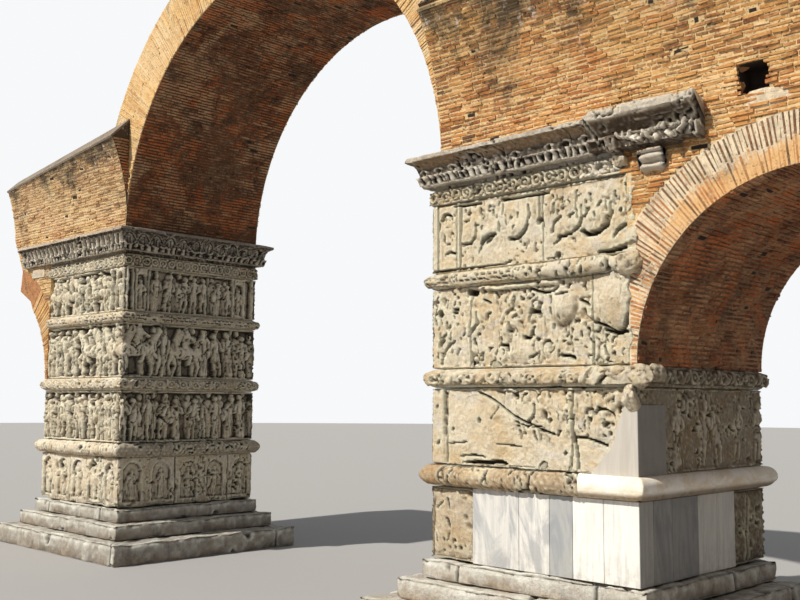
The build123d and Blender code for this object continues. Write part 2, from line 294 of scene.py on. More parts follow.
def makeMarble(name, pale, tan, dark, patchy=0.4, soot=0.3, streak=0.3, pitted=0.6):
    s = Shading(name)
    mottle = s.spots(17, 6, 0.8, 0.44, 0.62)
    color = s.coats(pale, [
        (s.spots(1.1, 6, 0.66, 0.44, 0.6, warp=0.5), patchy, tan),
        (s.spots(5, 6, 0.72, 0.5, 0.62, warp=0.6), patchy * 0.7, scaled(tan, 0.75)),
        (mottle, 0.3, scaled(tan, 0.55)),
        (s.spots(2.4, 6, 0.7, 0.52, 0.64, (1, 1, 1.3), 0.8), 0.45, (0.8, 0.76, 0.72)),
        (s.spots(3, 5, 0.65, 0.52, 0.66, (3.2, 3.2, 0.35)), streak, scaled(dark, 2.6))])
    color = s.mix(s.attribute("stain"), color, s.mix(mottle, (0.58, 0.37, 0.19), (0.32, 0.19, 0.09)))
    # soot spots and the grime values darken the colour: the grime values hold real dirt and painted shade
    dirtAndShade = s.math("MULTIPLY", s.spots(1.9, 7, 0.75, 0.5, 0.66), soot)
    dirtAndShade = s.math("ADD", dirtAndShade, s.math("MULTIPLY", s.attribute("grime"), 0.8))
    color = s.mix(dirtAndShade, color, scaled(dark, 2.2))
    # painted highlight: the raised crests are lightened towards a paler cream
    highlightShare = s.ramp(s.noise(7, 4, 0.6), 0.3, 0.6, 0.35, 0.85)
    color = s.coat(color, s.attribute("crestHighlight"), highlightShare, scaled(pale, 1.1))
    # pits, and the hollows darkened towards the dark colour: painted shade with some dirt
    pits = s.math("MULTIPLY", s.spots(30, 5, 0.7, 0.6, 0.66), pitted)
    color = s.mix(s.math("MAXIMUM", s.attribute("hollowDirtAndShade"), pits), color, dark)
    # fresh, clean marble; the same mask also lays painted highlights on some raised parts
    fresh = s.attribute("fresh")
    clean = s.mix(s.spots(1.6, 6, 0.65, 0.42, 0.62, (1, 1, 2.5), 1), (0.95, 0.91, 0.82), (0.8, 0.7, 0.54))
    clean = s.coat(clean, s.spots(14, 5, 0.7, 0.5, 0.7), 0.25, (0.52, 0.42, 0.3))
    color = s.mix(fresh, color, clean)
    rough = s.math("SUBTRACT", 1, s.math("MULTIPLY", fresh, 0.8))
    normal = None
    for scale, detail, distance in [(70, 5, 0.018), (20, 6, 0.05)]:
        normal = s.bump(s.math("MULTIPLY", s.noise(scale, detail, 0.75), rough), distance, 1, normal)
    return s.finish(color, s.ramp(mottle, 0, 1, 0.72, 0.9), normal)


def makeNewMarble(name, stops, vein, veined, depth=0.35):
    s = Shading(name)
    tone = s.attribute("tone")
    far = rightPier.far
    # painted shade: the right pier's outer face, at its far x, is darkened
    outer = s.ramp(s.part("X"), far - 0.012, far - 0.008, 0, 0.62)
    shadedSideColor = s.mix(s.spots(3, 6, 0.7, 0.45, 0.62), (0.05, 0.046, 0.042), (0.012, 0.011, 0.01))
    veins = s.spots(1.5, 6, 0.62, 0.47, 0.6, (1.6, 1.6, 0.45), 1.8)
    color = s.coats(s.colors(tone, stops), [
        (veins, s.ramp(tone, 0.82, 0.92, veined, 0.12), vein),
        (s.spots(9, 5, 0.6, 0.42, 0.66, (2, 2, 0.16)), depth, scaled(vein, 1.2)),
        (s.spots(9, 6, 0.75, 0.4, 0.7), s.ramp(s.part("Z"), 1.1, 1.6, 0.5, 0), (0.3, 0.26, 0.2)),
        (s.spots(40, 4, 0.7, 0.58, 0.72), 0.3, scaled(vein, 0.8)),
        (outer, s.ramp(tone, 0.94, 0.955, 1, 0.66), shadedSideColor)])
    return s.finish(color, 0.55, s.bump(s.noise(60, 4, 0.7), 0.008, 0.7), 0.35)


def makeBrick(name, stops, patches, mortar, smear=0.3, soot=0.3, sootFrom=9.4):
    s = Shading(name)
    tone = s.attribute("tone")
    color = s.colors(s.math("ADD", tone, s.ramp(s.noise(1.3, 4, 0.65), 0.3, 0.7, -0.24, 0.24)), stops)
    for n, (tint, share) in enumerate(patches):
        at = s.add("Mapping", Vector=s.place, Location=(13 * n + 3, 7 * n, 5)).outputs[0]
        color = s.coat(color, s.ramp(s.noise(0.8, 6, 0.7, at, 0.8), 0.5, 0.58), share, tint)
    color = s.coats(color, [
        (s.spots(45, 5, 0.75, 0.38, 0.68), 0.35, scaled(stops[2][1], 0.45)),
        (s.spots(5, 6, 0.75, 0.51, 0.62, (0.6, 0.6, 1.6), 0.6), smear, mortar),
        (s.spots(15, 5, 0.75, 0.54, 0.62), smear, mortar),
        (s.spots(24, 5, 0.75, 0.56, 0.63, (0.6, 0.6, 1.5)), 0.75, scaled(stops[1][1], 0.25))])
    # bricks of tone 0, the lost ones, go near black: painted shade of their empty holes
    color = s.mix(s.ramp(tone, 0, 0.02, 1, 0), sooty(s, color, sootFrom, soot), (0.03, 0.018, 0.012))
    return s.finish(color, 0.9, s.bump(s.noise(60, 5, 0.75), 0.012, 0.9))


# black crust that thickens towards the top, with a few bleached runs in it
def sooty(s, color, level, share):
    high = s.ramp(s.part("Z"), level - 0.6, level + 0.7, 0, 0.24)
    crust = s.ramp(s.math("ADD", s.noise(1.1, 7, 0.75, s.stretched((1, 1, 0.6)), 0.5), high), 0.55, 0.68)
    above = s.ramp(s.part("Z"), level - 1, level, 0, 0.75)
    return s.coats(color, [(crust, share, (0.06, 0.048, 0.036)),
        (s.spots(4, 5, 0.65, 0.6, 0.68, (1.5, 1.5, 0.6)), above, (0.72, 0.64, 0.54))])


def innerBand(s, color):   # ochre mortar along the side ring's inner edge
    run, rise = s.math("SUBTRACT", s.part("X"), sideArch.x), s.math("SUBTRACT", s.part("Z"), sideArch.z)
    away = s.math("SQRT", s.math("ADD", s.math("MULTIPLY", run, run), s.math("MULTIPLY", rise, rise)))
    away = s.math("ADD", away, s.ramp(s.noise(2.5, 5, 0.6), 0.3, 0.7, -0.12, 0.12))
    inner = sideArch.inner
    share = s.ramp(away, inner + 0.22, inner + 0.36, 0.85, 0)
    return s.coat(color, share, s.ramp(rise, 0.5 * inner, 0.85 * inner), (0.76, 0.44, 0.17))


def makeMortar(name, facing, shaded, depth, pits=0.8, sootFrom=9.4, soot=0.7):
    s = Shading(name)
    mottle = s.spots(7, 6, 0.75, 0.38, 0.64)
    color = s.mix(mottle, facing, scaled(facing, 0.68))
    if name == "sideMortar":
        color = innerBand(s, color)
    if depth:   # painted shade: the soffit, between the two faces, is darker than they are, and so is the left springer's end face
        under = s.mix(mottle, shaded, scaled(shaded, 0.55))
        under = s.coat(under, s.spots(0.9, 5, 0.65, 0.4, 0.6), 0.7, scaled(shaded, 0.25))
        if depth == back:
            inside = s.ramp(s.math("ABSOLUTE", s.part("Y")), depth - 0.02, depth - 0.005, 1, 0)
        else:
            inside = s.ramp(s.part("X"), depth - 0.006, depth - 0.002)
        color = s.mix(inside, color, under)
    holes = s.spots(26, 4, 0.65, 0.55, 0.64)
    color = s.coat(sooty(s, color, sootFrom, soot), holes, pits, (0.055, 0.035, 0.025))
    return s.finish(color, 0.93, s.bump(s.noise(45, 6, 0.75), 0.02, 1))


def evenly(*colors):
    return [(n / (len(colors) - 1), color) for n, color in enumerate(colors)]


creamMarble = makeMarble("creamMarble", (0.99, 0.87, 0.66), (0.86, 0.62, 0.33), (0.045, 0.031, 0.02), 0.75,
    0.08, 0.1, 0.45)
paleMarble = makeMarble("paleMarble", (1, 0.87, 0.67), (0.78, 0.58, 0.35), (0.034, 0.026, 0.02), 0.6, 0.15,
    0.15, 0.45)
greyMarble = makeMarble("greyMarble", (0.84, 0.76, 0.62), (0.52, 0.39, 0.25), (0.028, 0.019, 0.013), 0.5,
    0.15, 0.2)
stepStone = makeMarble("stepStone", (0.97, 0.91, 0.8), (0.62, 0.5, 0.36), (0.05, 0.041, 0.032), 0.6, 0.2,
    0.25, 0.4)
slabMarble = makeNewMarble("slabMarble",
    [(0, (0.16, 0.16, 0.16)), (0.35, (0.48, 0.48, 0.46)), (0.7, (0.76, 0.73, 0.67)),
    (1, (0.93, 0.9, 0.82))], (0.27, 0.28, 0.3), 0.6)
patchMarble = makeNewMarble("patchMarble", [(0, (0.54, 0.5, 0.44)), (1, (0.54, 0.5, 0.44))],
    (0.36, 0.32, 0.27), 0.3, 0.5)
wallStops = evenly((0.06, 0.03, 0.018), (0.28, 0.09, 0.03), (0.53, 0.225, 0.06), (0.68, 0.36, 0.12),
    (0.84, 0.58, 0.3))
stubStops = evenly((0.06, 0.03, 0.02), (0.3, 0.14, 0.06), (0.52, 0.29, 0.12), (0.64, 0.4, 0.18),
    (0.78, 0.56, 0.32))
mainRingStops = evenly((0.3, 0.12, 0.04), (0.58, 0.3, 0.1), (0.74, 0.46, 0.18), (0.8, 0.55, 0.26),
    (0.86, 0.66, 0.4))
sideRingStops = evenly((0.07, 0.05, 0.028), (0.16, 0.09, 0.045), (0.5, 0.2, 0.07), (0.78, 0.46, 0.19),
    (0.86, 0.64, 0.38))
# the soffit brick, also laid on the left springer's end face, is darker than the wall brick: partly its own
# colour, partly painted shade
soffitShadeStops = evenly((0.03, 0.014, 0.01), (0.13, 0.04, 0.018), (0.28, 0.088, 0.032), (0.42, 0.17, 0.06),
    (0.6, 0.34, 0.17))
wallBrick = makeBrick("wallBrick", wallStops, [((0.72, 0.43, 0.14), 0.4), ((0.6, 0.19, 0.05), 0.5)],
    (0.84, 0.58, 0.28), 0.35, 0.85)
ringBrick = makeBrick("ringBrick", mainRingStops, [((0.8, 0.48, 0.16), 0.45), ((0.78, 0.62, 0.42), 0.4)],
    (0.84, 0.64, 0.38), 0.35, 0.25, 13.5)
sideBrick = makeBrick("sideBrick", sideRingStops, [((0.84, 0.5, 0.2), 0.15), ((0.55, 0.16, 0.05), 0.25)],
    (0.88, 0.72, 0.48), 0.2, 0.1, 13.5)
soffitShadeBrick = makeBrick("soffitShadeBrick", soffitShadeStops,
    [((0.78, 0.48, 0.26), 0.6), ((0.66, 0.17, 0.04), 0.8), ((0.03, 0.026, 0.02), 0.6)], (0.58, 0.38, 0.22),
    0.35, 0.5, 13.5)
stubBrick = makeBrick("stubBrick", stubStops, [((0.72, 0.52, 0.25), 0.55), ((0.6, 0.3, 0.16), 0.45)],
    (0.74, 0.55, 0.32), 0.5, 0.85)
wallMortar = makeMortar("wallMortar", (0.88, 0.62, 0.31), (0.3, 0.2, 0.12), 0, 0.95)
# the shaded colours of these mortars are painted shade on the soffits and on the left springer's end face
ringMortar = makeMortar("ringMortar", (0.84, 0.62, 0.34), (0.22, 0.13, 0.07), back, 0.8, 13.5)
sideMortar = makeMortar("sideMortar", (0.9, 0.74, 0.52), (0.6, 0.34, 0.18), back, 0.4, 13.5)
springerMortar = makeMortar("springerMortar", (0.88, 0.66, 0.38), (0.22, 0.13, 0.07), springerNear["left"],
    0.5)
brokenMortar = makeMortar("brokenMortar", (0.52, 0.24, 0.1), (0.2, 0.1, 0.05), 0, 0.9, 13.5)
copingMortar = makeMortar("copingMortar", (0.31, 0.25, 0.19), (0.3, 0.2, 0.12), 0, 0.5, 13.5)
# near black for the inside of the beam hole: painted shade
holeShade = makeMortar("holeShade", (0.05, 0.035, 0.025), (0.05, 0.035, 0.025), 0, 0.2, 13.5)
pierMarble = {"left": paleMarble, "right": creamMarble}
print("materials made")


def meshOf(bm, name, smooth=False):
    mesh = bpy.data.meshes.new(name)
    bmesh.ops.recalc_face_normals(bm, faces=bm.faces)
    bm.to_mesh(mesh)
    bm.free()
    if smooth:
        mesh.polygons.foreach_set("use_smooth", np.ones(len(mesh.polygons), bool))
    return mesh


def addBox(bm, low, high):
    made = bmesh.ops.create_cube(bm, size=1)["verts"]
    for v in made:
        v.co = Vector(((low[k] + high[k]) / 2 + v.co[k] * (high[k] - low[k]) for k in range(3)))
    return made


def addPiece(name, mesh, material, slot, *replaced):
    piece = linked(name, mesh)
    mesh.materials.append(material)
    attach(piece, "root")
    if replaced:
        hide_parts(*replaced)
    return piece


def dress(node, material):
    nodes[node].data.materials.clear()
    nodes[node].data.materials.append(material)


# Carving: a panel is a sheet of heights over a face, seen from outside, left to right

class Panel:
    def __init__(self, width, path, columns, rng):
        self.x, self.z, self.width, self.tall = np.linspace(0, width, columns), path, width, path[-1]
        self.across, self.up = self.x[None, :], path[:, None]
        self.rng, self.ground = rng, 0
        self.h, self.fresh, self.grime, self.stain = np.zeros((4, len(path), columns))


def clamp(share):
    return np.clip(share, 0, 1)


def setGround(panel, depth):
    panel.ground = -depth
    panel.h[:] = -depth


def cloud(panel, size, stretch=1):
    u, v = panel.x / size, panel.z / (size * stretch)
    seeds = panel.rng.uniform(-1, 1, (int(v[-1]) + 3, int(u[-1]) + 3))
    i, j = u.astype(int), v.astype(int)
    a, b = u - i, (v - j)[:, None]
    a, b = a * a * (3 - 2 * a), b * b * (3 - 2 * b)
    low = seeds[np.ix_(j, i)] * (1 - a) + seeds[np.ix_(j, i + 1)] * a
    high = seeds[np.ix_(j + 1, i)] * (1 - a) + seeds[np.ix_(j + 1, i + 1)] * a
    return low * (1 - b) + high * b


def roughness(panel, size, octaves=3):
    return sum(cloud(panel, size / 2**n) / 2**n for n in range(octaves))


def near(panel, x0, x1, z0, z1):
    i = slice(*np.searchsorted(panel.x, [x0, x1]))
    j = slice(*np.searchsorted(panel.z, [z0, z1]))
    return i, j, panel.x[i][None, :], panel.z[j][:, None]


def raiseTo(panel, i, j, share, top):
    part = panel.h[j, i]
    level = panel.ground + (top - panel.ground) * np.sqrt(clamp(share))
    np.maximum(part, np.where(share > 0, level, -9), out=part)


def oval(panel, at, wide, tall, turn, reach):   # squared distances along a turned oval's axes
    i, j, x, z = around(panel, at, at, reach)
    c, s = cos(turn), sin(turn)
    dx, dz = x - at[0], z - at[1]
    return i, j, ((dx * c + dz * s) / wide)**2, ((dz * c - dx * s) / tall)**2


def dome(panel, at, wide, tall, top, turn=0):
    i, j, a, b = oval(panel, at, wide, tall, turn, max(wide, tall))
    raiseTo(panel, i, j, 1 - a - b, top)


def awayFrom(x, z, a, b):   # how far each place is from the line a-b, squared, and how far along it
    dx, dz = b[0] - a[0], b[1] - a[1]
    t = clamp(((x - a[0]) * dx + (z - a[1]) * dz) / (dx * dx + dz * dz + 1e-9))
    return (x - a[0] - t * dx)**2 + (z - a[1] - t * dz)**2, t


def around(panel, a, b, room):
    return near(panel, min(a[0], b[0]) - room, max(a[0], b[0]) + room, min(a[1], b[1]) - room,
        max(a[1], b[1]) + room)


def limb(panel, a, b, thickA, thickB, top):
    i, j, x, z = around(panel, a, b, max(thickA, thickB))
    away, t = awayFrom(x, z, a, b)
    raiseTo(panel, i, j, 1 - away / (thickA + t * (thickB - thickA))**2, top)


# each row: x and z at both ends, the two thicknesses, and how far it stands out
def limbs(panel, at, unit, level, *rows):
    for x0, z0, x1, z1, thickA, thickB, out in rows:
        limb(panel, at(x0, z0), at(x1, z1), thickA * unit, thickB * unit, level + out)


def press(panel, at, wide, tall, amount, turn=0):   # a soft dent, or a swelling if the amount is positive
    i, j, a, b = oval(panel, at, wide, tall, turn, 2.2 * max(wide, tall))
    panel.h[j, i] += amount * np.exp(-a - b)


def groove(panel, points, wide, deep):   # cut down to a depth along a line of points
    for a, b in zip(points[:-1], points[1:]):
        i, j, x, z = around(panel, a, b, 2 * wide)
        away, t = awayFrom(x, z, a, b)
        part = panel.h[j, i]
        np.minimum(part, np.where(away < wide**2, -deep, 9), out=part)


def bow(a, b, bulge, steps=7):   # the points of a bent line from a to b
    t = np.linspace(0, 1, steps)
    off = 4 * t * (1 - t) * bulge
    dx, dz = b[0] - a[0], b[1] - a[1]
    long = hypot(dx, dz) + 1e-9
    return list(zip(a[0] + dx * t - dz / long * off, a[1] + dz * t + dx / long * off))


# crisp lines and holes: each mark is a width, then the points it runs through
def cut(panel, marks, deep=0.12):
    for wide, *points in marks:
        if len(points) == 1:
            points = [points[0], (points[0][0] + 0.4 * wide, points[0][1] + 0.5 * wide)]
        groove(panel, points, wide, deep + 1.5 * wide)


# marks as whole numbers: the width in mm, then x and z of each point in cm
def cutTable(panel, table, deep=0.12):
    for wide, *steps in table:
        cut(panel, [(wide / 1000, *((x / 100, z / 100) for x, z in zip(steps[::2], steps[1::2])))], deep)


# swellings as whole numbers: x, z, width and height in cm, how far out in mm, and the turn in hundredths
def pressTable(panel, table):
    for x, z, wide, tall, out, turn in table:
        press(panel, (x / 100, z / 100), wide / 100, tall / 100, out / 1000, turn / 100)


# scattered short cuts, mostly upright
def strokes(panel, x0, x1, z0, z1, count, long=0.11, wide=0.011, deep=0.07):
    rng = panel.rng
    for _ in range(count):
        x, z = rng.uniform(x0, x1), rng.uniform(z0, z1)
        reach = long * rng.uniform(0.3, 1.4)
        turn = rng.normal(0.15, 0.4)
        end = (x + reach * sin(turn), min(z + reach * cos(turn), z1))
        groove(panel, bow((x, z), end, reach * rng.uniform(-0.3, 0.3), 5), wide * rng.uniform(0.6, 1.7),
            deep * rng.uniform(0.5, 1.3))


def fade(panel, share, level=-0.03):   # nearly lose what is carved
    panel.h = level + (panel.h - level) * share


def hoop(panel, at, radius, thick, top):
    i, j, x, z = around(panel, at, at, radius + thick)
    raiseTo(panel, i, j, 1 - ((np.hypot(x - at[0], z - at[1]) - radius) / thick)**2, top)


def blend(panel, share, level):
    panel.h = panel.h * (1 - share) + level * share


def flatten(panel, x0, x1, z0, z1, level, soft=0.05):   # a plain field with soft borders
    x, z = panel.across, panel.up
    share = clamp(np.minimum(np.minimum(x - x0, x1 - x), np.minimum(z - z0, z1 - z)) / soft)
    blend(panel, share * share * (3 - 2 * share), level)


def pleats(panel, at, wide, tall, pitch, amount, slant=0):
    i, j, x, z = near(panel, at[0] - wide, at[0] + wide, at[1] - tall, at[1] + tall)
    dx, dz = (x - at[0]) / wide, (z - at[1]) / tall
    inside = clamp(1.3 - dx * dx - dz * dz)
    panel.h[j, i] += amount * inside * np.sin((x - at[0] + slant * (z - at[1])) * 2 * pi / pitch)


def poser(x, foot, unit, lean=0, flip=1):
    c, s = cos(lean), sin(lean)

    def at(a, b):
        a, b = a * unit * flip, b * unit
        return x + a * c + b * s, foot - a * s + b * c
    return at


def head(panel, at, u, level):
    x, z = at
    dome(panel, (x, z + 0.04 * u), 0.42 * u, 0.52 * u, level)          # skull with its cap of hair
    dome(panel, (x, z - 0.1 * u), 0.3 * u, 0.42 * u, level + 0.01)  # face
    for dx, dz, wide, tall, amount in [
            (-0.13, 0, 0.07, 0.05, -0.016), (0.13, 0, 0.07, 0.05, -0.016),    # eyes
            (0, -0.12, 0.05, 0.12, 0.012), (0, -0.32, 0.12, 0.03, -0.008)]:   # nose and mouth
        press(panel, (x + dx * u, z + dz * u), wide * u, tall * u, amount)


def standing(panel, x, foot, tall, level=0, lean=0, robed=None):
    rng, u = panel.rng, tall / 7.3
    flip = rng.choice([-1, 1])
    at = poser(x, foot, u, lean, flip)
    robed = rng.random() < 0.45 if robed is None else robed
    limbs(panel, at, u, level, (0, 5.2, 0.1, 1, 0.8, 0.85, -0.08))
    if robed:
        limbs(panel, at, u, level, (0, 4.6, 0.05, 0.5, 0.6, 0.8, -0.01))
        pleats(panel, at(0, 2.4), 0.85 * u, 2.4 * u, 0.44 * u, 0.022, 0.1 * flip)
    else:
        limbs(panel, at, u, level, (-0.28, 3.4, -0.45, 1.9, 0.33, 0.25, -0.01),
            (-0.45, 1.9, -0.42, 0.2, 0.24, 0.16, -0.02), (0.28, 3.4, 0.55, 1.9, 0.33, 0.25, 0.01),
            (0.55, 1.9, 0.48, 0.2, 0.24, 0.16, -0.01), (0, 4.2, 0.05, 3.1, 0.6, 0.8, 0.01))
        pleats(panel, at(0, 3.5), 0.8 * u, 0.9 * u, 0.36 * u, 0.022, 0.05)
    limbs(panel, at, u, level, (0, 5.5, 0, 4.3, 0.72, 0.56, 0.02))
    press(panel, at(0.1, 4.9), 0.1 * u, 0.7 * u, -0.02, 0.4 * flip)
    reach, lift = rng.uniform(-0.3, 1.3), rng.uniform(3.6, 6.2)
    limbs(panel, at, u, level, (0.72, 5.5, 1.05, 4.5, 0.28, 0.22, 0.025),
        (1.05, 4.5, reach, lift, 0.22, 0.15, 0.025), (-0.72, 5.5, -1, 4.3, 0.28, 0.22, 0.01),
        (0, 5.8, 0, 6.2, 0.26, 0.24, 0))
    head(panel, at(0, 6.6), u, level + 0.02)
    held = rng.random()
    if held < 0.3:   # a shield
        dome(panel, at(-0.9, 3.9), 0.75 * u, 1.15 * u, level + 0.03)
        press(panel, at(-0.9, 3.9), 0.5 * u, 0.8 * u, -0.02)
        press(panel, at(-0.9, 3.9), 0.2 * u, 0.28 * u, 0.04)
    elif held < 0.7:   # a spear
        hand = at(reach, lift)[0]
        limb(panel, (hand, foot + 0.3 * u), (hand + 0.1 * u, foot + 7.4 * u), 0.12 * u, 0.1 * u, level)


def rider(panel, x, foot, tall, flip, level=0):
    at = poser(x, foot, tall, 0, flip)
    limbs(panel, at, tall, level, (-0.26, 0.5, 0.24, 0.5, 0.15, 0.145, 0.01))
    dome(panel, at(-0.28, 0.53), 0.17 * tall, 0.17 * tall, level + 0.02)
    dome(panel, at(0.27, 0.54), 0.15 * tall, 0.17 * tall, level + 0.02)
    groove(panel, bow(at(-0.16, 0.35), at(0.2, 0.36), -0.04 * tall * flip), 0.018, 0.11)
    for hip, knee, hoof in [((0.24, 0.42), (0.3, 0.22), (0.26, 0.02)),
            ((0.3, 0.44), (0.47, 0.34), (0.42, 0.16)), ((-0.3, 0.42), (-0.24, 0.22), (-0.33, 0.02)),
            ((-0.34, 0.42), (-0.42, 0.24), (-0.37, 0.04))]:
        limbs(panel, at, tall, level, (*hip, *knee, 0.085, 0.045, -0.01),
            (*knee, *hoof, 0.045, 0.032, -0.02))
    limbs(panel, at, tall, level, (0.28, 0.6, 0.43, 0.86, 0.12, 0.07, 0.01),
        (0.42, 0.88, 0.56, 0.74, 0.065, 0.04, 0.02), (-0.42, 0.56, -0.5, 0.3, 0.05, 0.03, -0.02),
        (-0.02, 0.62, 0, 0.86, 0.095, 0.11, 0.03))
    pleats(panel, at(-0.02, 0.7), 0.12 * tall, 0.14 * tall, 0.05 * tall, 0.02, 0.4)
    limbs(panel, at, tall, level, (0, 0.62, 0.1, 0.4, 0.07, 0.05, 0.03),
        (0.1, 0.4, 0.05, 0.26, 0.045, 0.03, 0.02), (0.06, 0.84, 0.2, 0.76, 0.045, 0.035, 0.03),
        (-0.12, 0.88, -0.28, 0.6, 0.12, 0.09, -0.02))
    head(panel, at(0, 0.97), 0.15 * tall, level + 0.02)


def crowd(panel, x0, x1, foot, tall, pitch, sway=0.08, riders=0):
    rng = panel.rng
    x = x0 + 0.4 * pitch
    while x < x1:                                   # the rank behind shows as heads and shoulders
        head(panel, (x, foot + tall * rng.uniform(0.86, 0.97)), tall / 7.3, -0.045)
        dome(panel, (x, foot + tall * 0.74), 0.9 * tall / 7.3, 0.8 * tall / 7.3, -0.06)
        limb(panel, (x + 0.02, foot + 0.04), (x, foot + 0.62 * tall), 0.06 * tall, 0.1 * tall, -0.08)
        x += pitch * rng.uniform(0.7, 1.1)
    x = x0 + 0.25 * pitch
    while x < x1:
        if rng.random() < riders and x + 0.5 * tall < x1:
            rider(panel, x + 0.3 * tall, foot, tall * rng.uniform(0.94, 1.02), rng.choice([-1, 1]))
            x += 0.75 * tall
        else:
            standing(panel, x, foot, tall * rng.uniform(0.88, 1), 0, rng.uniform(-sway, sway))
            x += pitch * rng.uniform(0.8, 1.2)


def strip(panel, x0, x1, level=0):   # a plain pilaster strip with a line down each side
    flatten(panel, x0, x1, 0.02, panel.tall - 0.02, level, 0.012)
    for x in [x0, x1]:
        groove(panel, [(x, 0.03), (x, panel.tall - 0.03)], 0.012, 0.1)


def archAway(panel, x, springing):   # how far each place is from the axis of a round-headed niche
    beside = np.abs(panel.across - x)
    return np.where(panel.up > springing, np.hypot(beside, panel.up - springing), beside)


def nicheFigure(panel, x, wide, foot, top):   # an arched niche with a small robed figure
    flatten(panel, x - wide * 0.75, x + wide * 0.75, 0.05, panel.tall - 0.03, 0, 0.02)
    panel.h[(archAway(panel, x, top - wide / 2) < wide / 2) & (panel.up > foot)] = -0.09
    panel.ground = -0.09
    standing(panel, x, foot, (top - foot) * 0.86, -0.015, 0, True)


def bilinear(h, j, i):
    j, i = np.clip(j, 0, h.shape[0] - 1.001), np.clip(i, 0, h.shape[1] - 1.001)
    j0, i0 = j.astype(int), i.astype(int)
    b, a = j - j0, i - i0
    low = h[j0, i0] * (1 - a) + h[j0, i0 + 1] * a
    high = h[j0 + 1, i0] * (1 - a) + h[j0 + 1, i0 + 1] * a
    return low * (1 - b) + high * b


def shift(panel, size, amount):   # carry the carving sideways by a slow noise, so that no line stays true
    h = panel.h
    j, i = np.indices(h.shape).astype(float)
    cell = panel.width / (h.shape[1] - 1)
    push = roughness(panel, size, 2) * amount / cell
    lift = roughness(panel, size, 2) * amount / cell
    panel.h = bilinear(h, j + lift, i + push)


def soften(h, passes):
    for _ in range(passes):
        wide = np.pad(h, 1, mode="edge")
        h = (wide[:-2, 1:-1] + wide[2:, 1:-1] + wide[1:-1, :-2] + wide[1:-1, 2:] + 2 * wide[1:-1, 1:-1]) / 6
    return h


def weather(panel, worn, chips=0.5, top=0.04, grain=1):   # shift, wear, chip and pit
    shift(panel, 0.35, 0.018)
    shift(panel, 0.1, 0.007)
    h = panel.h
    calm = soften(h, 10)
    where = clamp(roughness(panel, 0.6) * 1.6 + worn * 2 - 1)
    h = h + (0.35 * h + 0.3 * calm - 0.012 - h) * where
    h += 0.7 * (h - soften(h, 3))
    h += grain * (0.01 * roughness(panel, 0.16) + 0.008 * cloud(panel, 0.04))
    crease = clamp(1 - np.abs(cloud(panel, 0.11, 2.4)) / 0.16) * clamp(cloud(panel, 0.5) + 0.35)
    h -= 0.035 * grain * crease * (h > panel.ground + 0.02)
    drilled = np.clip(cloud(panel, 0.055) * 0.6 + cloud(panel, 0.3) * 0.5 - 0.5, 0, 0.25)
    h -= grain * 0.4 * drilled
    broken = clamp(roughness(panel, 0.28) - (1.25 - chips))
    h -= 0.14 * np.minimum(broken, 0.45)
    panel.h = np.clip(h, panel.ground - 0.07, top)


def shades(h, cell):   # how hollow and how raised each place is, against its surroundings: painted shade, with some dirt, for the hollows and a painted highlight for the crests
    fine = soften(h, 4) - h
    broad = soften(h, max(6, round(0.3 / cell))) - h
    hollow = clamp((fine - 0.003) / 0.016) * 0.75 + clamp((broad - 0.01) / 0.045) * 0.75
    hollow += clamp((-h - 0.075) / 0.06) * 0.7
    crestHighlight = clamp(-fine / 0.012) * 0.7 + clamp(-broad / 0.04) * 0.6
    return np.clip(hollow, 0, 0.95), clamp(crestHighlight)


# Courses: a sheet of heights laid round a pier, with mitred corners

def layout(corners, closed):
    corners = [Vector(c) for c in corners]
    count = len(corners) if closed else len(corners) - 1
    loop = corners + [Vector((corners[0].x, back))] if count == 1 else corners
    turn = sum(a.x * b.y - a.y * b.x for a, b in zip(loop, loop[1:] + loop[:1]))
    sides = []
    for n in range(count):
        a, b = corners[n], corners[(n + 1) % len(corners)]
        out = Vector((b.y - a.y, a.x - b.x)).normalized()
        if turn < 0:
            out = -out
        sides.append(SimpleNamespace(a=a, b=b, out=out, length=(b - a).length))
    for n, side in enumerate(sides):
        before = sides[n - 1] if closed or n else side
        after = sides[(n + 1) % count] if closed or n < count - 1 else side
        side.mitreA = side.out if before is side else side.out + before.out
        side.mitreB = side.out if after is side else side.out + after.out
        side.cornerA, side.cornerB = before is not side, after is not side
    return sides


def resample(path, cell):
    points = [np.array(path[0], float)]
    for a, b in zip(path[:-1], path[1:]):
        a, b = np.array(a, float), np.array(b, float)
        count = max(1, round(float(np.hypot(*(b - a))) / cell))
        points += [a + (b - a) * n / count for n in range(1, count + 1)]
    return np.array(points)


def arc(start, through, end, steps=8):   # a smooth curve through three points of a section
    a, m, b = (np.array(p, float) for p in (start, through, end))
    bend = 2 * m - (a + b) / 2
    return [tuple((1 - t)**2 * a + 2 * t * (1 - t) * bend + t * t * b) for t in np.linspace(0, 1, steps)]


def sheetMesh(name, points, fields):
    rows, columns = points.shape[:2]
    bm = bmesh.new()
    bmesh.ops.create_grid(bm, x_segments=columns - 1, y_segments=rows - 1, size=0.5)
    mesh = bpy.data.meshes.new(name)
    bm.to_mesh(mesh)
    bm.free()
    flat = np.empty(len(mesh.vertices) * 3, np.float32)
    mesh.vertices.foreach_get("co", flat)
    column = np.rint((flat[0::3] + 0.5) * (columns - 1)).astype(int)
    row = np.rint((flat[1::3] + 0.5) * (rows - 1)).astype(int)
    mesh.vertices.foreach_set("co", points[row, column].astype(np.float32).ravel())
    for key, field in fields.items():
        layer = mesh.attributes.new(key, "FLOAT", "POINT")
        layer.data.foreach_set("value", field[row, column].astype(np.float32))
    bm = bmesh.new()
    bm.from_mesh(mesh)
    bpy.data.meshes.remove(mesh)
    bmesh.ops.remove_doubles(bm, verts=bm.verts, dist=0.0001)
    ends = [e for e in bm.edges if e.is_boundary]
    if ends:
        bmesh.ops.holes_fill(bm, edges=ends, sides=0)
    return meshOf(bm, name, True)


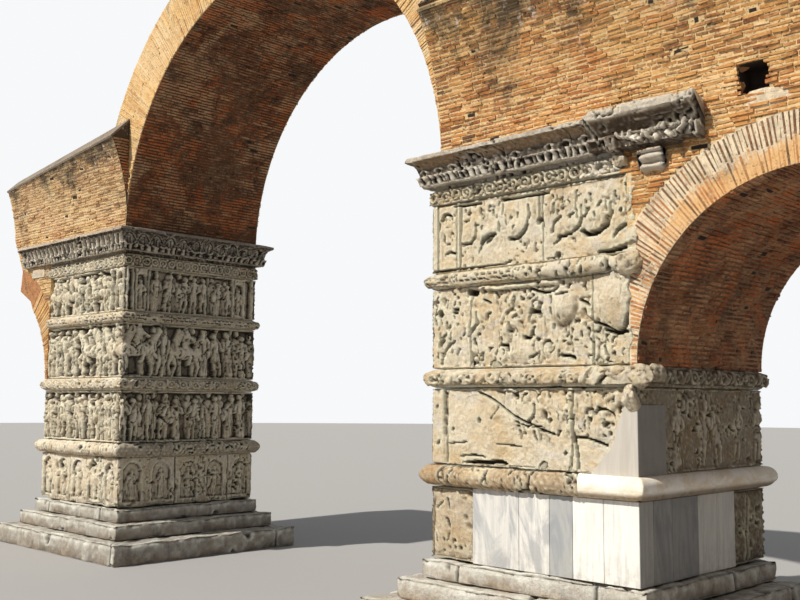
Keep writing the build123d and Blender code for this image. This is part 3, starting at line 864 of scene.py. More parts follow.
# A course of carved stone: its path is a section, as distances out from the corners' line, and heights
def makeCourse(node, material, slot, corners, path, cells, carve, seed, closed=False, mirrored=False,
        thick=0.3, shrink=None, cell=0.03, name=None):
    path = resample(path, cell)
    travel = np.concatenate([[0], np.cumsum(np.hypot(*np.diff(path, axis=0).T))])
    tangent = np.gradient(path, axis=0)
    tangent /= np.hypot(*tangent.T)[:, None] + 1e-9
    outward = np.stack([tangent[:, 1], -tangent[:, 0]], axis=1)
    base, mitre, push, scale = [], [], [], []
    fields = {key: [] for key in ["h", "hollowDirtAndShade", "crestHighlight", "fresh", "grime", "stain"]}
    sides = layout(corners, closed)
    for n, side in enumerate(sides):
        columns = max(3, round(side.length / cells[n])) + 1
        panel = Panel(side.length, travel, columns, default_rng(seed + n))
        panel.rise = path[:, 1] - path[0, 1]
        carve(panel, n)
        h = panel.h.copy()
        h[[0, -1]] = np.minimum(h[[0, -1]], 0) * 0.3
        hollow, crestHighlight = shades(h, cells[n])
        made = dict(zip(fields, [h, hollow, crestHighlight, panel.fresh, panel.grime, panel.stain]))
        if mirrored:
            made = {key: field[:, ::-1] for key, field in made.items()}
        share = np.linspace(0, 1, columns)
        edge = np.ones(columns)
        for corner, along in [(side.cornerA, share), (side.cornerB, 1 - share)]:
            if corner:
                edge = np.minimum(edge, along * side.length / 0.07)
        edge = edge * edge * (3 - 2 * edge)
        wear = default_rng(seed + 50 + n).normal(0, 1, len(travel))
        wear = -0.016 - 0.03 * np.abs(np.convolve(wear, np.ones(3) / 3, "same"))
        made["h"] = made["h"] * edge + wear[:, None] * (1 - edge) * (1 - made["fresh"])
        last = columns if (not closed and n == len(sides) - 1) else columns - 1
        for t in share[:last]:
            base.append(side.a * (1 - t) + side.b * t)
            mitre.append(side.mitreA * (1 - t) + side.mitreB * t)
            push.append(side.mitreA if t == 0 else side.mitreB if t == 1 else side.out)
            scale.append(shrink(n, (1 - t if mirrored else t) * side.length) if shrink else 1)
        for key, field in made.items():
            fields[key].append(field[:, :last])
    base, mitre, push, scale = (np.array(rows) for rows in (base, mitre, push, scale))
    fields = {key: np.hstack(field) for key, field in fields.items()}
    heights = fields.pop("h")
    flat = base + mitre * (path[:, 0][:, None] * scale)[:, :, None]
    flat = flat + push * (heights * outward[:, 0][:, None])[:, :, None]
    points = np.dstack([flat, path[:, 1][:, None] + heights * outward[:, 1][:, None]])
    inner = base - mitre * thick
    low, high = (np.column_stack([inner, np.full(len(inner), path[end, 1])])[None] for end in (0, -1))
    points = np.concatenate([low, points, high, low])
    fields = {key: np.concatenate([field[:1], field, field[-1:], field[:1]])
        for key, field in fields.items()}
    if closed:
        points = np.concatenate([points, points[:, :1]], axis=1)
        fields = {key: np.concatenate([field, field[:, :1]], axis=1) for key, field in fields.items()}
    name = name or node + "Carving"
    return addPiece(name, sheetMesh(name, points, fields), material, slot, node)


frontSide, passageSide, backSide, outerSide = range(4)
fineCells = {"right": [0.017, 0.08, 0.08, 0.026], "left": [0.021, 0.021, 0.08, 0.08]}
roughCells = {"right": [0.02, 0.08, 0.08, 0.03], "left": [0.024, 0.024, 0.08, 0.08]}
shadeOf = {"left": [0, 0.24, 0.3, 0.3], "right": [0, 0.4, 0.3, 0.75]}   # painted shade of each side: the sides in shade are darkened


def overrun(z):   # how far the right pier's old slabs stand over the wall beside them
    for course, more in [("upper", 0.18), ("middle", 0.08)]:
        low, high = span("right_relief_" + course, 2)
        if low < z < high:
            return more
    return 0


def pierCorners(pier, closed, farFront=None, extra=0):
    far = pier.far if closed else pier.openFar + extra
    first = far if farFront is None else farFront
    return [(first, pier.front), (pier.near, pier.front), (pier.near, pier.back), (far, pier.back)]


def facePath(z0, z1, joint=0.012):
    return [(-0.03, z0), (0, z0 + joint), (0, z1 - joint), (-0.03, z1)]


def slabJoints(panel, first, wide, narrow):
    joint = panel.rng.uniform(*first)
    while joint < panel.width - 0.4:
        groove(panel, bow((joint, 0), (joint + 0.01, panel.tall), 0.01), 0.012, 0.15)
        joint += panel.rng.uniform(narrow, wide)


registerLook = {   # foot, height of the figures, their pitch, sway, share of riders, wear, depth
    "left": {"relief_lower": (0.06, 1.14, 0.37, 0.12, 0, 0.15, 0.13),
             "relief_middle": (0.06, 1.22, 0.4, 0.18, 0.2, 0.15, 0.17),
             "relief_upper": (0.06, 0.95, 0.34, 0.1, 0.1, 0.15, 0.15)},
    "right": {"relief_lower": (0.06, 1.1, 0.62, 0.12, 0, 0.62, 0.07),
              "relief_middle": (0.06, 1.2, 0.36, 0.3, 0.2, 0.42, 0.12),
              "relief_upper": (0.12, 0.98, 0.36, 0.12, 0.6, 0.4, 0.1)},
}


def rims(panel):
    ledge = (panel.up < 0.07) | (panel.up > panel.tall - 0.06)
    panel.h = np.where(ledge, np.maximum(panel.h, -0.02), panel.h)


def crowdOn(panel, look):
    foot, tall, pitch, sway, riders, worn, depth = look
    setGround(panel, depth)
    crowd(panel, 0, panel.width, foot, tall, pitch, sway, riders)
    rims(panel)
    slabJoints(panel, (0.9, 1.3), 1.5, 1)
    weather(panel, worn)
    strokes(panel, 0, panel.width, 0.1, panel.tall - 0.1, round(panel.width * 26), 0.13, 0.013, 0.065)


def leftUpperPassage(panel, look):
    setGround(panel, 0.11)
    crowd(panel, 0.75, 3, 0.06, 0.95, 0.34, 0.12, 0.3)
    for x0, x1 in [(0.03, 0.13), (0.2, 0.27), (0.62, 0.7), (3.05, 3.13), (3.4, 3.47), (3.62, 3.72)]:
        strip(panel, x0, x1)
    nicheFigure(panel, 0.45, 0.22, 0.12, 0.92)
    nicheFigure(panel, 3.27, 0.2, 0.12, 0.92)
    rims(panel)
    weather(panel, 0.2)


def leftUpperFront(panel, look):
    setGround(panel, 0.15)
    crowd(panel, 0, 3, 0.06, 0.95, 0.36, 0.12, 0.2)
    for x0, x1 in [(3.02, 3.12), (3.22, 3.28)]:
        strip(panel, x0, x1)
    nicheFigure(panel, 3.46, 0.26, 0.12, 0.95)
    rims(panel)
    weather(panel, 0.2)
    strokes(panel, 0, 3, 0.1, 0.95, 70, 0.13, 0.013, 0.065)


def rightUpperFront(panel, look):
    setGround(panel, 0.1)
    crowd(panel, 0.75, 2, 0.3, 0.8, 0.34, 0.1, 0)
    crowd(panel, 2.25, 3.7, 0.34, 0.76, 0.4, 0.2, 0)
    for x, tall, flip in [(1.00, 0.74, 1), (1.62, 0.8, 1), (2.72, 0.74, -1), (3.22, 0.78, 1)]:
        rider(panel, x, 0.26, tall, flip)
    blend(panel, clamp((0.36 - panel.up) / 0.08), -0.03)
    nicheFigure(panel, 0.335, 0.25, 0.24, 1)
    fade(panel, np.where(panel.x < 2.1, 0.16, 0.26), -0.012)
    pressTable(panel, [
        (175, 58, 18, 10, 35, 30), (270, 52, 22, 10, 35, 20), (318, 56, 20, 13, 35, 70),
        (356, 52, 12, 22, 35, -30), (340, 20, 35, 10, 35, 10), (120, 60, 16, 8, 35, 30),
        (245, 80, 7, 20, 35, -20), (298, 86, 7, 20, 35, 10), (335, 88, 7, 16, 35, -20)])
    weather(panel, 0.1, 0.3, 0.05, 0.45)
    strip(panel, 0.03, 0.15, 0.005)
    strip(panel, 0.55, 0.63, 0.005)
    strokes(panel, 0.66, 2, 0.55, 1.05, 12, 0.08)
    strokes(panel, 2.25, 3.8, 0.45, 1.05, 18, 0.1)
    press(panel, (3.78, 0.75), 0.08, 0.22, 0.03)
    press(panel, (3.76, 0.25), 0.1, 0.1, 0.03)
    panel.stain += 0.5 * clamp(1 - np.abs(panel.x - 2.5) / 0.3) * clamp(1 - np.abs(panel.up - 0.8) / 0.4)
    cutTable(panel, [
        (22, 22, 90, 25, 97, 32, 99, 40, 97, 45, 90), (14, 64, 108, 64, 64), (20, 30, 33, 40, 36, 50, 33),
        (20, 94, 76, 95, 64, 93, 54), (24, 93, 54, 84, 46, 67, 45), (14, 94, 73, 101, 73),
        (26, 106, 43, 112, 49, 122, 53, 134, 55), (20, 116, 44, 125, 47, 132, 54), (16, 105, 38, 100, 29),
        (14, 141, 72, 142, 58), (26, 161, 45, 170, 43, 178, 45, 189, 51, 196, 62),
        (16, 196, 62, 197, 70, 199, 76, 198, 92), (14, 128, 93, 129, 84), (12, 133, 91, 132, 84),
        (14, 148, 100, 148, 85), (14, 106, 91, 106, 86), (20, 164, 76), (12, 178, 83, 177, 76),
        (20, 122, 99), (20, 81, 96), (14, 217, 106, 216, 73), (45, 215, 65), (12, 223, 110, 224, 5),
        (16, 246, 88, 245, 74), (18, 263, 88, 259, 79), (26, 273, 65), (20, 240, 45, 245, 58, 257, 67),
        (20, 253, 38, 274, 40, 291, 50, 294, 60), (14, 293, 79, 294, 63, 300, 61, 307, 73),
        (12, 284, 102, 283, 80, 286, 62), (34, 295, 41, 302, 35, 320, 37, 336, 46),
        (24, 336, 46, 342, 56, 342, 76), (14, 315, 65, 317, 60), (16, 326, 80, 322, 74),
        (18, 349, 92, 350, 80), (24, 358, 63), (24, 347, 27, 353, 35, 366, 42), (14, 243, 28, 254, 33),
        (18, 368, 98, 371, 86), (20, 370, 56, 378, 62, 380, 74), (16, 366, 42, 380, 44), (45, 250, 9),
        (12, 231, 7, 246, 7), (30, 322, 6, 342, 7, 380, 14), (14, 4, 6, 64, 6, 153, 7, 166, 11),
        (22, 145, 107, 235, 106), (16, 50, 109, 105, 108)])


def rightMiddleFront(panel, look):
    setGround(panel, 0.12)
    crowd(panel, 0.9, 3, 0.1, 1.05, 0.36, 0.35, 0.15)
    crowd(panel, 0.02, 0.8, 0.1, 1.1, 0.34, 0.2, 0)
    x = panel.x
    fade(panel, np.interp(x, [0.82, 0.9, 1.9, 2.4, 3], [0.14, 0.34, 0.34, 0.22, 0.1]), -0.012)
    pressTable(panel, [
        (262, 84, 17, 20, 60, 20), (110, 26, 18, 16, 40, 20), (175, 22, 26, 11, 40, 20),
        (235, 24, 13, 15, 30, 20), (342, 22, 22, 12, 30, 20), (285, 42, 16, 20, 30, 20),
        (190, 100, 16, 10, 30, 20), (150, 62, 12, 16, 40, 20)])
    flatten(panel, 1, 2.55, 1.2, 1.29, 0.015, 0.02)
    rims(panel)
    weather(panel, 0.1, 0.4, 0.06, 0.6)
    panel.ground = -0.05
    strokes(panel, 0.05, 0.8, 0.1, 1.15, 22)
    strokes(panel, 0.9, 2.4, 0.08, 1.15, 34)
    strokes(panel, 2.4, 3.66, 0.08, 0.5, 20, 0.08)
    for at, size, top in [((3.42, 0.9), 0.26, 0.13), ((2.6, 0.88), 0.17, 0.09)]:
        press(panel, at, size, 1.25 * size, top, 0.2)
        dx, dz = panel.across - at[0], panel.up - at[1]
        away = np.hypot(dx, dz / 1.25) / size
        # painted shadow in a crescent below and to the right of each swelling, which is also cut a little
        # deeper there
        under = clamp((0.7 * dx - dz) / size) * clamp(1 - np.abs(away - 1.35) / 0.35)
        panel.grime += 0.7 * under
        panel.h -= 0.04 * under
    panel.h += 0.008 * roughness(panel, 0.12)
    cutTable(panel, [
        (45, 18, 90), (18, 10, 82, 11, 73), (16, 46, 97, 58, 97, 55, 90, 46, 92),
        (20, 34, 76, 33, 69, 38, 65, 41, 70), (20, 57, 72), (16, 28, 113, 26, 106), (16, 51, 108, 49, 104),
        (20, 4, 109), (14, 14, 118, 11, 112), (22, 32, 58, 25, 54, 18, 39), (20, 20, 42, 28, 47),
        (18, 43, 43, 31, 33, 25, 22, 22, 10), (18, 62, 49), (14, 46, 32, 43, 28),
        (14, 87, 114, 83, 78, 82, 58, 85, 31, 85, 0), (20, 96, 89, 97, 71, 86, 58), (50, 80, 122, 93, 120),
        (32, 111, 122), (16, 108, 109, 121, 103), (16, 131, 121, 137, 110), (18, 154, 108, 151, 103),
        (20, 169, 108, 167, 93, 155, 83), (26, 173, 79), (16, 181, 109, 183, 105),
        (32, 197, 71, 201, 86, 215, 83), (28, 215, 83, 218, 96),
        (18, 198, 120, 222, 112, 242, 113, 250, 118), (16, 160, 70, 163, 60),
        (14, 114, 75, 115, 86, 124, 88), (24, 186, 47, 197, 45, 207, 61), (20, 205, 49), (26, 214, 42),
        (20, 223, 33, 227, 39, 233, 40, 238, 35), (14, 237, 22, 243, 29), (24, 143, 37, 155, 36, 158, 29),
        (18, 109, 25, 107, 15), (16, 197, 16, 211, 22), (24, 255, 18, 269, 17, 279, 13), (22, 273, 43),
        (20, 274, 33), (18, 248, 38), (18, 288, 97, 305, 88), (12, 242, 64, 242, 57),
        (14, 247, 107, 268, 109), (14, 311, 129, 311, 90, 309, 58, 310, 0),
        (20, 313, 63, 333, 57, 351, 46, 369, 48), (18, 329, 28, 333, 17), (22, 345, 18), (60, 318, 5),
        (60, 128, 7, 136, 6), (22, 330, 52, 348, 46, 362, 52, 370, 70)])


def rightLowerFront(panel, look):
    setGround(panel, 0.075)
    for swelling in [((1.72, 0.9), 0.12, 0.17, 0.02), ((1.9, 1.08), 0.08, 0.1, 0.03),
            ((2.05, 0.88), 0.12, 0.17, 0.01), ((1.88, 0.82), 0.2, 0.16, 0)]:
        dome(panel, *swelling)
    crowd(panel, 2.1, 3.5, 0.3, 0.86, 0.42, 0.3, 0)
    panel.h = np.where(panel.x > 1.5, -0.02 + 0.4 * (panel.h + 0.02), panel.h)
    press(panel, (3.42, 1), 0.07, 0.2, 0.05, -0.6)
    press(panel, (3.15, 0.6), 0.18, 0.1, 0.04)
    weather(panel, 0.3, 0.5)
    strokes(panel, 1.6, 3.65, 0.45, 1.15, 46, 0.12, 0.014, 0.08)
    field = -0.035 + 0.014 * roughness(panel, 0.55) + 0.008 * roughness(panel, 0.1)
    x, z = panel.across, panel.up
    plain = clamp((1.62 - x - 0.5 * (z - 0.85)) / 0.12) * clamp((x - 0.3) / 0.05)
    plain = np.maximum(plain, clamp((0.46 - z + 0.08 * np.sin(3 * x)) / 0.12))
    blend(panel, plain, field)
    flatten(panel, 0.02, 0.29, 0.02, 1.24, -0.004, 0.03)
    panel.h += 0.006 * roughness(panel, 0.09)
    # joints and holes as whole numbers: width and depth in mm, the rest in cm
    for wide, deep, *steps in [
            (18, 110, 33, 4, 34, 122, 1), (16, 120, 99, 116, 157, 86, 3), (18, 110, 157, 86, 240, 55, -2),
            (10, 70, 140, 100, 121, 76, 2), (12, 80, 133, 38, 180, 36, 0), (11, 70, 38, 36, 74, 39, 0),
            (16, 140, 272, 120, 267, 2, 3), (18, 130, 278, 52, 328, 42, 3), (22, 120, 272, 62, 282, 5, 2),
            (14, 120, 312, 90, 342, 80, 7), (12, 90, 170, 72, 220, 66, -3), (28, 160, 67, 5, 124, 9, 2),
            (32, 160, 118, 7, 154, 6, 5), (12, 100, 60, 16, 110, 17, 3), (12, 100, 150, 5, 205, 4, 0)]:
        x0, z0, x1, z1, bulge = (step / 100 for step in steps)
        groove(panel, bow((x0, z0), (x1, z1), bulge), wide / 1000, deep / 1000)
    for wide, deep, x0, z0 in [(70, 220, 220, 7), (28, 180, 302, 76), (35, 180, 326, 70), (28, 140, 98, 72),
            (25, 140, 232, 74), (20, 110, 13, 92), (25, 130, 16, 36), (20, 130, 258, 28), (18, 90, 45, 58)]:
        at = x0 / 100, z0 / 100
        groove(panel, [at, (at[0] + 0.015, at[1] + 0.02)], wide / 1000, deep / 1000)
    hidden = np.interp(z, [0, 0.19, 0.33, 0.43, 0.67, 0.96, 0.97, 2],
        [3.02, 3.19, 3.31, 3.4, 3.45, 3.58, 9, 9])
    panel.h = np.where(x > hidden + 0.03, -0.07, panel.h)   # behind the new patch


def rightLowerOuter(panel, look):
    setGround(panel, 0.06)
    crowd(panel, 0.9, panel.width, 0.1, 1.05, 0.62, 0.2)
    fade(panel, 0.5, -0.015)
    rims(panel)
    weather(panel, 0.3, 0.45, 0.03, 0.9)
    strokes(panel, 0.8, panel.width, 0.05, 1.1, 26, 0.24, 0.012, 0.05)
    x, z = panel.across, panel.up
    panel.h = np.where((x < 0.71) & (z < 0.97), -0.07, panel.h)


specialPanels = {
    ("left", "relief_upper", frontSide): leftUpperFront,
    ("left", "relief_upper", passageSide): leftUpperPassage,
    ("right", "relief_upper", frontSide): rightUpperFront,
    ("right", "relief_middle", frontSide): rightMiddleFront,
    ("right", "relief_lower", frontSide): rightLowerFront,
    ("right", "relief_lower", outerSide): rightLowerOuter,
}


def withSideShade(side, carve, more=0):   # painted shade on the sides in shade, and a painted highlight on their raised parts
    def carved(panel, n):
        carve(panel, n)
        panel.grime += shadeOf[side][n] + (more if shadeOf[side][n] else 0)
        if shadeOf[side][n]:
            # painted highlight on the raised parts of a shaded side
            panel.fresh += 0.3 * clamp((panel.h - np.percentile(panel.h, 72)) / 0.02)
    return carved


def makeRegisters():
    for side, pier in piers.items():
        for k, (course, look) in enumerate(registerLook[side].items()):
            node = side + "_" + course
            closed = course == "relief_lower"
            extra = overrun(sum(span(node, 2)) / 2) if side == "right" else 0

            def carve(panel, n):
                specialPanels.get((side, course, n), crowdOn)(panel, look)
                if extra and n in (frontSide, backSide):
                    ragged = panel.width - 0.05 + 0.045 * cloud(panel, 0.12)[:, :1]
                    panel.h += 0.03 * clamp((panel.x - panel.width + 0.25) / 0.1)
                    panel.h = np.where(panel.x > ragged, -0.09, panel.h)
            makeCourse(node, pierMarble[side], "carved_marble", pierCorners(pier, closed, None, extra),
                facePath(*span(node, 2)), fineCells[side], withSideShade(side, carve),
                100 * k + (7 if side == "left" else 11), closed, side == "right",
                cell=0.019 if side == "right" else 0.023)
            print("carved", node)


def scaleCuts(panel, x1, pitch=0.12, rows=4):   # fish scales, as staggered rows of short cuts
    for level in range(rows):
        x = pitch / 2 if level % 2 else 0
        while x < x1:
            z = panel.tall * (0.15 + 0.7 * level / (rows - 1)) + panel.rng.normal(0, 0.008)
            if panel.rng.random() < 0.75:
                groove(panel, bow((x, z + 0.012), (x + 0.62 * pitch, z - 0.004), -0.012, 4), 0.013, 0.04)
            x += pitch


def carveBand(kind, pitch, worn):
    def carve(panel, side):
        height = panel.tall
        middle = height / 2
        if kind == "scales":
            weather(panel, worn, 0.5, 0.015, 0.9)
            scaleCuts(panel, panel.width)
            panel.stain += 0.35 * clamp(cloud(panel, 0.4) + 0.5)
            return
        setGround(panel, 0.035 if kind == "rosettes" else 0.055)
        x = pitch / 2
        while x < panel.width + pitch / 2:
            if kind == "rosettes":
                hoop(panel, (x, middle), 0.2 * height, 0.08 * height, -0.004)
                dome(panel, (x, middle), 0.09 * height, 0.09 * height, -0.006)
                for way in [-1, 1]:
                    limb(panel, (x + way * 0.26 * height, middle - way * 0.2 * height),
                        (x + way * 0.46 * pitch, middle + way * 0.12 * height), 0.14 * height, 0.1 * height,
                        0.002)
            else:   # a scroll of wheels with a leaf over and under each gap
                hoop(panel, (x, middle), 0.33 * pitch, 0.1 * pitch, 0)
                dome(panel, (x, middle), 0.13 * pitch, 0.13 * pitch, 0.004)
                for way in [-1, 1]:
                    dome(panel, (x + pitch / 2, middle + way * 0.24 * height), 0.15 * pitch, 0.13 * height,
                        -0.004)
            x += pitch * panel.rng.uniform(0.92, 1.08)
        z = panel.z
        rim = (z < 0.13 * height) | (z > 0.87 * height)
        panel.h[rim] = np.maximum(panel.h[rim], -0.006)
        weather(panel, worn, 0.5, 0.02, 0.7)
        strokes(panel, 0, panel.width, 0.15 * height, 0.8 * height, round(panel.width * 12), 0.06)
        panel.stain += 0.4 * clamp(cloud(panel, 0.5) + 0.6)
    return carve


def rightBandMiddle(panel, side):
    if side != frontSide:
        carveBand("scales", 0, 0.3)(panel, side)
        return
    middle = panel.tall / 2
    dome(panel, (2.75, middle), 0.45, 0.16, 0.03)
    dome(panel, (3.15, middle), 0.25, 0.15, 0.025)
    panel.h += 0.016 * roughness(panel, 0.25)
    weather(panel, 0.3, 0.5, 0.035, 0.7)
    scaleCuts(panel, 1.75)
    strokes(panel, 1.7, 3.3, 0.06, 0.3, 20, 0.06)
    cutTable(panel, [
        (16, 222, 4, 224, 16, 230, 30), (26, 340, 2, 342, 15, 340, 33), (18, 230, 5, 290, 3, 335, 4),
        (20, 192, 24), (20, 205, 14), (24, 212, 24), (20, 170, 6, 188, 5)], 0.05)


def rightBandLower(panel, side):
    if side != frontSide:
        carveBand("rosettes", 0.42, 0.3)(panel, side)
        return
    middle, x = panel.tall / 2, panel.x
    setGround(panel, 0.03)
    for at, radius in [(0.2, 0.07), (0.62, 0.05), (0.95, 0.06), (1.35, 0.09), (1.8, 0.06), (2.35, 0.085),
            (2.75, 0.06)]:
        hoop(panel, (at, middle), radius, 0.026, 0.012)
        dome(panel, (at, middle), 0.035, 0.03, 0.006)
    for k in range(14):
        limb(panel, (0.3 + 0.2 * k, middle - 0.06), (0.42 + 0.2 * k, middle + 0.07), 0.05, 0.035, 0.002)
    weather(panel, 0.2, 0.45, 0.02, 0.6)
    strokes(panel, 0, 2.9, 0.06, 0.3, 26, 0.05)
    blend(panel, clamp((x - 2.95) / 0.2), -0.02 + 0.05 * roughness(panel, 0.22))
    panel.stain += 0.35 * clamp(1 - np.abs(x - 1.8) / 1.2) * clamp(cloud(panel, 0.3) + 0.6)
    cutTable(panel, [
        (14, 29, 3, 30, 34), (12, 148, 3, 150, 34), (30, 300, 22, 310, 34), (30, 260, 30, 264, 36),
        (16, 35, 5, 125, 4), (16, 190, 4, 290, 4), (26, 316, 6, 330, 28), (30, 300, 4, 360, 6)], 0.06)


def makeBands():
    for side, pier in piers.items():
        mirrored = side == "right"
        carvings = {"band_lower": carveBand("rosettes", 0.3, 0.3),
            "band_middle": carveBand("scales", 0, 0.25)}
        if mirrored:
            carvings = {"band_lower": rightBandLower, "band_middle": rightBandMiddle}
        for course, carve in carvings.items():
            node = side + "_" + course
            # more painted shade on the bands' sides in shade
            shade = 0.2 if course == "band_lower" else 0.05
            z0, z1 = span(node, 2)
            reach, swell = 0.07, 0.035
            path = [(-0.02, z0), (reach, z0 + swell),
                *arc((reach, z0 + swell), (reach + swell, (z0 + z1) / 2), (reach, z1 - swell)), (-0.02, z1)]
            closed = course == "band_lower"
            makeCourse(node, pierMarble[side], "carved_marble", pierCorners(pier, closed), path,
                fineCells[side], withSideShade(side, carve, shade), 31, closed, mirrored, cell=0.02)
        node = side + "_frieze"
        z0, z1 = span(node, 2)
        path = [(-0.03, z0), (0.04, z0 + 0.01), (0.04, z1 - 0.01), (-0.03, z1)]
        carve = (rightFrieze if mirrored else leftFrieze)(carveBand("scroll", 0.23, 0.22))
        makeCourse(node, pierMarble[side], "carved_marble",
            pierCorners(pier, False, None if mirrored else span(node, 0)[0]), path, fineCells[side],
            withSideShade(side, carve), 57, False, mirrored, cell=0.02)
        print("carved the bands of the", side, "pier")


def rightFrieze(carve):
    def carved(panel, side):
        carve(panel, side)
        if side == frontSide:
            x, z = panel.x, panel.up
            holes = [(0.02, (at, panel.rng.uniform(0.12, 0.24))) for at in np.arange(0.1, 2.85, 0.12)]
            cut(panel, [*holes, (0.05, (1.04, 0.18)), (0.04, (3.03, 0.17)), (0.05, (3.24, 0.2)),
                (0.045, (3.45, 0.2)), (0.02, (2.9, 0), (2.92, 0.34)), (0.02, (0, 0.01), (3.6, 0.01))], 0.04)
            panel.fresh += 0.45 * ((x > 2.92) & (x < 3.6) & (z > 0.02))
            panel.h = np.where((x > 3.6) & (z > 0.05), -0.1, panel.h)
    return carved


def leftFrieze(carve):
    def carved(panel, side):
        carve(panel, side)
        if side == frontSide:   # the broken stump that runs on beyond the pier
            x, z = panel.across, panel.up
            stump = x < 0.72
            panel.h = np.where(stump, 0.006 * roughness(panel, 0.1), panel.h)
            panel.h = np.where((stump & (z < 0.13)) | ((x > 0.66) & (x < 0.75)), -0.12, panel.h)
    return carved


def blockGap(side, along):   # the right cornice stops short under the reset block
    gone = side == frontSide and along > span("right_cornice_block", 0)[0] - rightPier.near
    return 0 if gone else 1


corniceLook = {"lip": 0.08, "slope": 0.07, "leafFoot": 0.065, "leafTop": 0.22}


def cornicePath(z0, z1, reach):
    lipTop = z1 - corniceLook["slope"]
    lipLow = lipTop - corniceLook["lip"]
    leafTop = z0 + corniceLook["leafTop"]
    hollow = arc((0.16, leafTop + 0.015), (0.21, (leafTop + 2 * lipLow) / 3), (reach, lipLow), 10)
    return [(-0.02, z0), (0, z0), (0, z0 + 0.05), (0.15, z0 + corniceLook["leafFoot"]), (0.2, leafTop),
        (0.16, leafTop + 0.015), *hollow, (reach, lipTop - 0.01), (reach - 0.02, lipTop), (-0.02, z1)]


def lipLevel(panel):   # how high the lip starts over the course's foot
    return panel.rise[-1] - corniceLook["slope"] - corniceLook["lip"]


def levels(panel, rise):   # a height over the course's foot, as a distance along its section
    return float(np.interp(rise, panel.rise, panel.z))


def carveCornice(leafPitch, tipPitch, style="tips"):
    def carve(panel, side):
        rng, z, fluted = panel.rng, panel.z, style == "fluted"
        foot, high = levels(panel, corniceLook["leafFoot"]), levels(panel, corniceLook["leafTop"])
        lipLow, tip = levels(panel, lipLevel(panel)), levels(panel, 0.31)
        lip = z > lipLow
        panel.ground = -0.065
        panel.h[(z > foot - 0.01) & (z < high + 0.015)] = -0.065
        x = 0
        slits = []
        while x < panel.width:                       # the row of leaves along the bottom
            wide = leafPitch * rng.uniform(0.6, 1.4)
            middle = x + wide / 2
            limb(panel, (middle, foot + 0.03), (middle + rng.normal(0, 0.02), high - 0.03), 0.42 * wide,
                0.34 * wide, rng.uniform(-0.03, 0.01))
            dome(panel, (middle, high - 0.02), 0.4 * wide, rng.uniform(0.02, 0.05), 0.02)
            slits.append((0.018, (x, foot),
                (x + rng.normal(0, 0.02), foot + (high - foot) * rng.uniform(0.5, 1))))
            x += wide
        top = levels(panel, 0.42)
        for x in np.arange(tipPitch / 2, panel.width + tipPitch / 2, tipPitch):
            if style == "arched":                       # leaves with round heads fill the hollow
                radius = 0.42 * tipPitch
                hoop(panel, (x, top - radius), radius, 0.03, 0.02)
                limb(panel, (x, high + radius), (x, top - radius), radius * 0.95, radius * 0.95, 0.012)
                slits.append((0.012, *bow((x - radius, top - radius), (x + radius, top - radius),
                    radius * 1.25, 9)))
                slits.append((0.008, (x, high + 0.03), (x, top - 0.06)))
            elif fluted:                                # upright leaves
                limb(panel, (x, high + 0.04), (x, top), 0.26 * tipPitch, 0.36 * tipPitch, 0.03)
                slits.append((0.035, (x + tipPitch / 2, high + 0.02), (x + tipPitch / 2, top)))
            elif rng.random() < 0.7:                    # a few worn tips
                points = bow((x - 0.08, tip - 0.02), (x + 0.08, tip - 0.02), 0.035, 6)
                for a, b in zip(points, points[1:]):
                    limb(panel, a, b, 0.016, 0.016, 0.035)
                slits.append((0.03, (x, tip - 0.04)))
        weather(panel, 0.2, 0.5, 0.08, 0.8)
        cut(panel, slits, 0.045)
        wear = 0.014 * np.abs(roughness(panel, 0.25))[lip]
        panel.h[lip] = np.minimum(panel.h[lip], 0) - wear
        # painted shade in the hollow under the lip, darkest just under it, and in the sunk places; the lip
        # and the leaf row are kept lighter, and the front's leaf row gets a painted highlight; the hollow's
        # brown is stain
        hollow = clamp((z - high) / 0.05) * clamp((lipLow - z) / 0.02)
        lipShade = clamp((levels(panel, 0.37) - z) / 0.06) * hollow * (0.2 if fluted else 1)
        panel.stain += ((0.4 if fluted else 0.95) * hollow * (1 - 0.8 * lipShade))[:, None]
        panel.grime += np.where(lip | (z < high), -0.4, 0.35 * hollow + 0.8 * lipShade)[:, None]
        sunkShade = clamp((-panel.h - 0.01) / 0.03)
        row = ((z < high + 0.02) & (z > foot))[:, None]
        panel.grime += sunkShade * (1.6 * hollow[:, None] + 1.7 * row)
        panel.fresh += 0.3 * (1 - sunkShade) * row * (side == frontSide)
        if fluted:
            panel.grime += hollow[:, None] * (1 - 1.3 * clamp(panel.h / 0.012))
        # painted shade in the gap under the leaf row
        panel.grime[z < levels(panel, 0.055)] += 0.9
    return carve


def makeCornices():
    looks = {"left": [carveCornice(0.12, 0.21, "fluted"), carveCornice(0.14, 0.33, "arched")],
        "right": [carveCornice(0.11, 0.3), carveCornice(0.18, 0.34)]}
    for side, pier in piers.items():
        node = side + "_cornice"
        z0, z1 = span(node, 2)
        reach = pier.front - span(node, 1)[0]

        def carve(panel, n):
            looks[side][0 if n == frontSide else 1](panel, n)
            # the sides' painted shade, with more on the left cornice's front and passage side, and painted
            # shade in the hollows of its other sides
            more = {frontSide: 0.25, passageSide: 0.8}.get(n, 0) if side == "left" else 0
            panel.grime += shadeOf[side][n] + more
            panel.stain += 0.3 if side == "left" and n == frontSide else 0
            if side == "left" and n != frontSide:
                low = levels(panel, corniceLook["leafTop"])
                hollow = (panel.z > low + 0.02) & (panel.z < levels(panel, lipLevel(panel)))
                panel.grime += 0.3 * hollow[:, None]
        makeCourse(node, greyMarble, "weathered_marble",
            pierCorners(pier, False, span(node, 0)[0] if side == "left" else None),
            cornicePath(z0, z1, reach), roughCells[side], carve, 77, False, side == "right", cell=0.022,
            shrink=blockGap if side == "right" else None)
        print("carved the", side, "cornice")


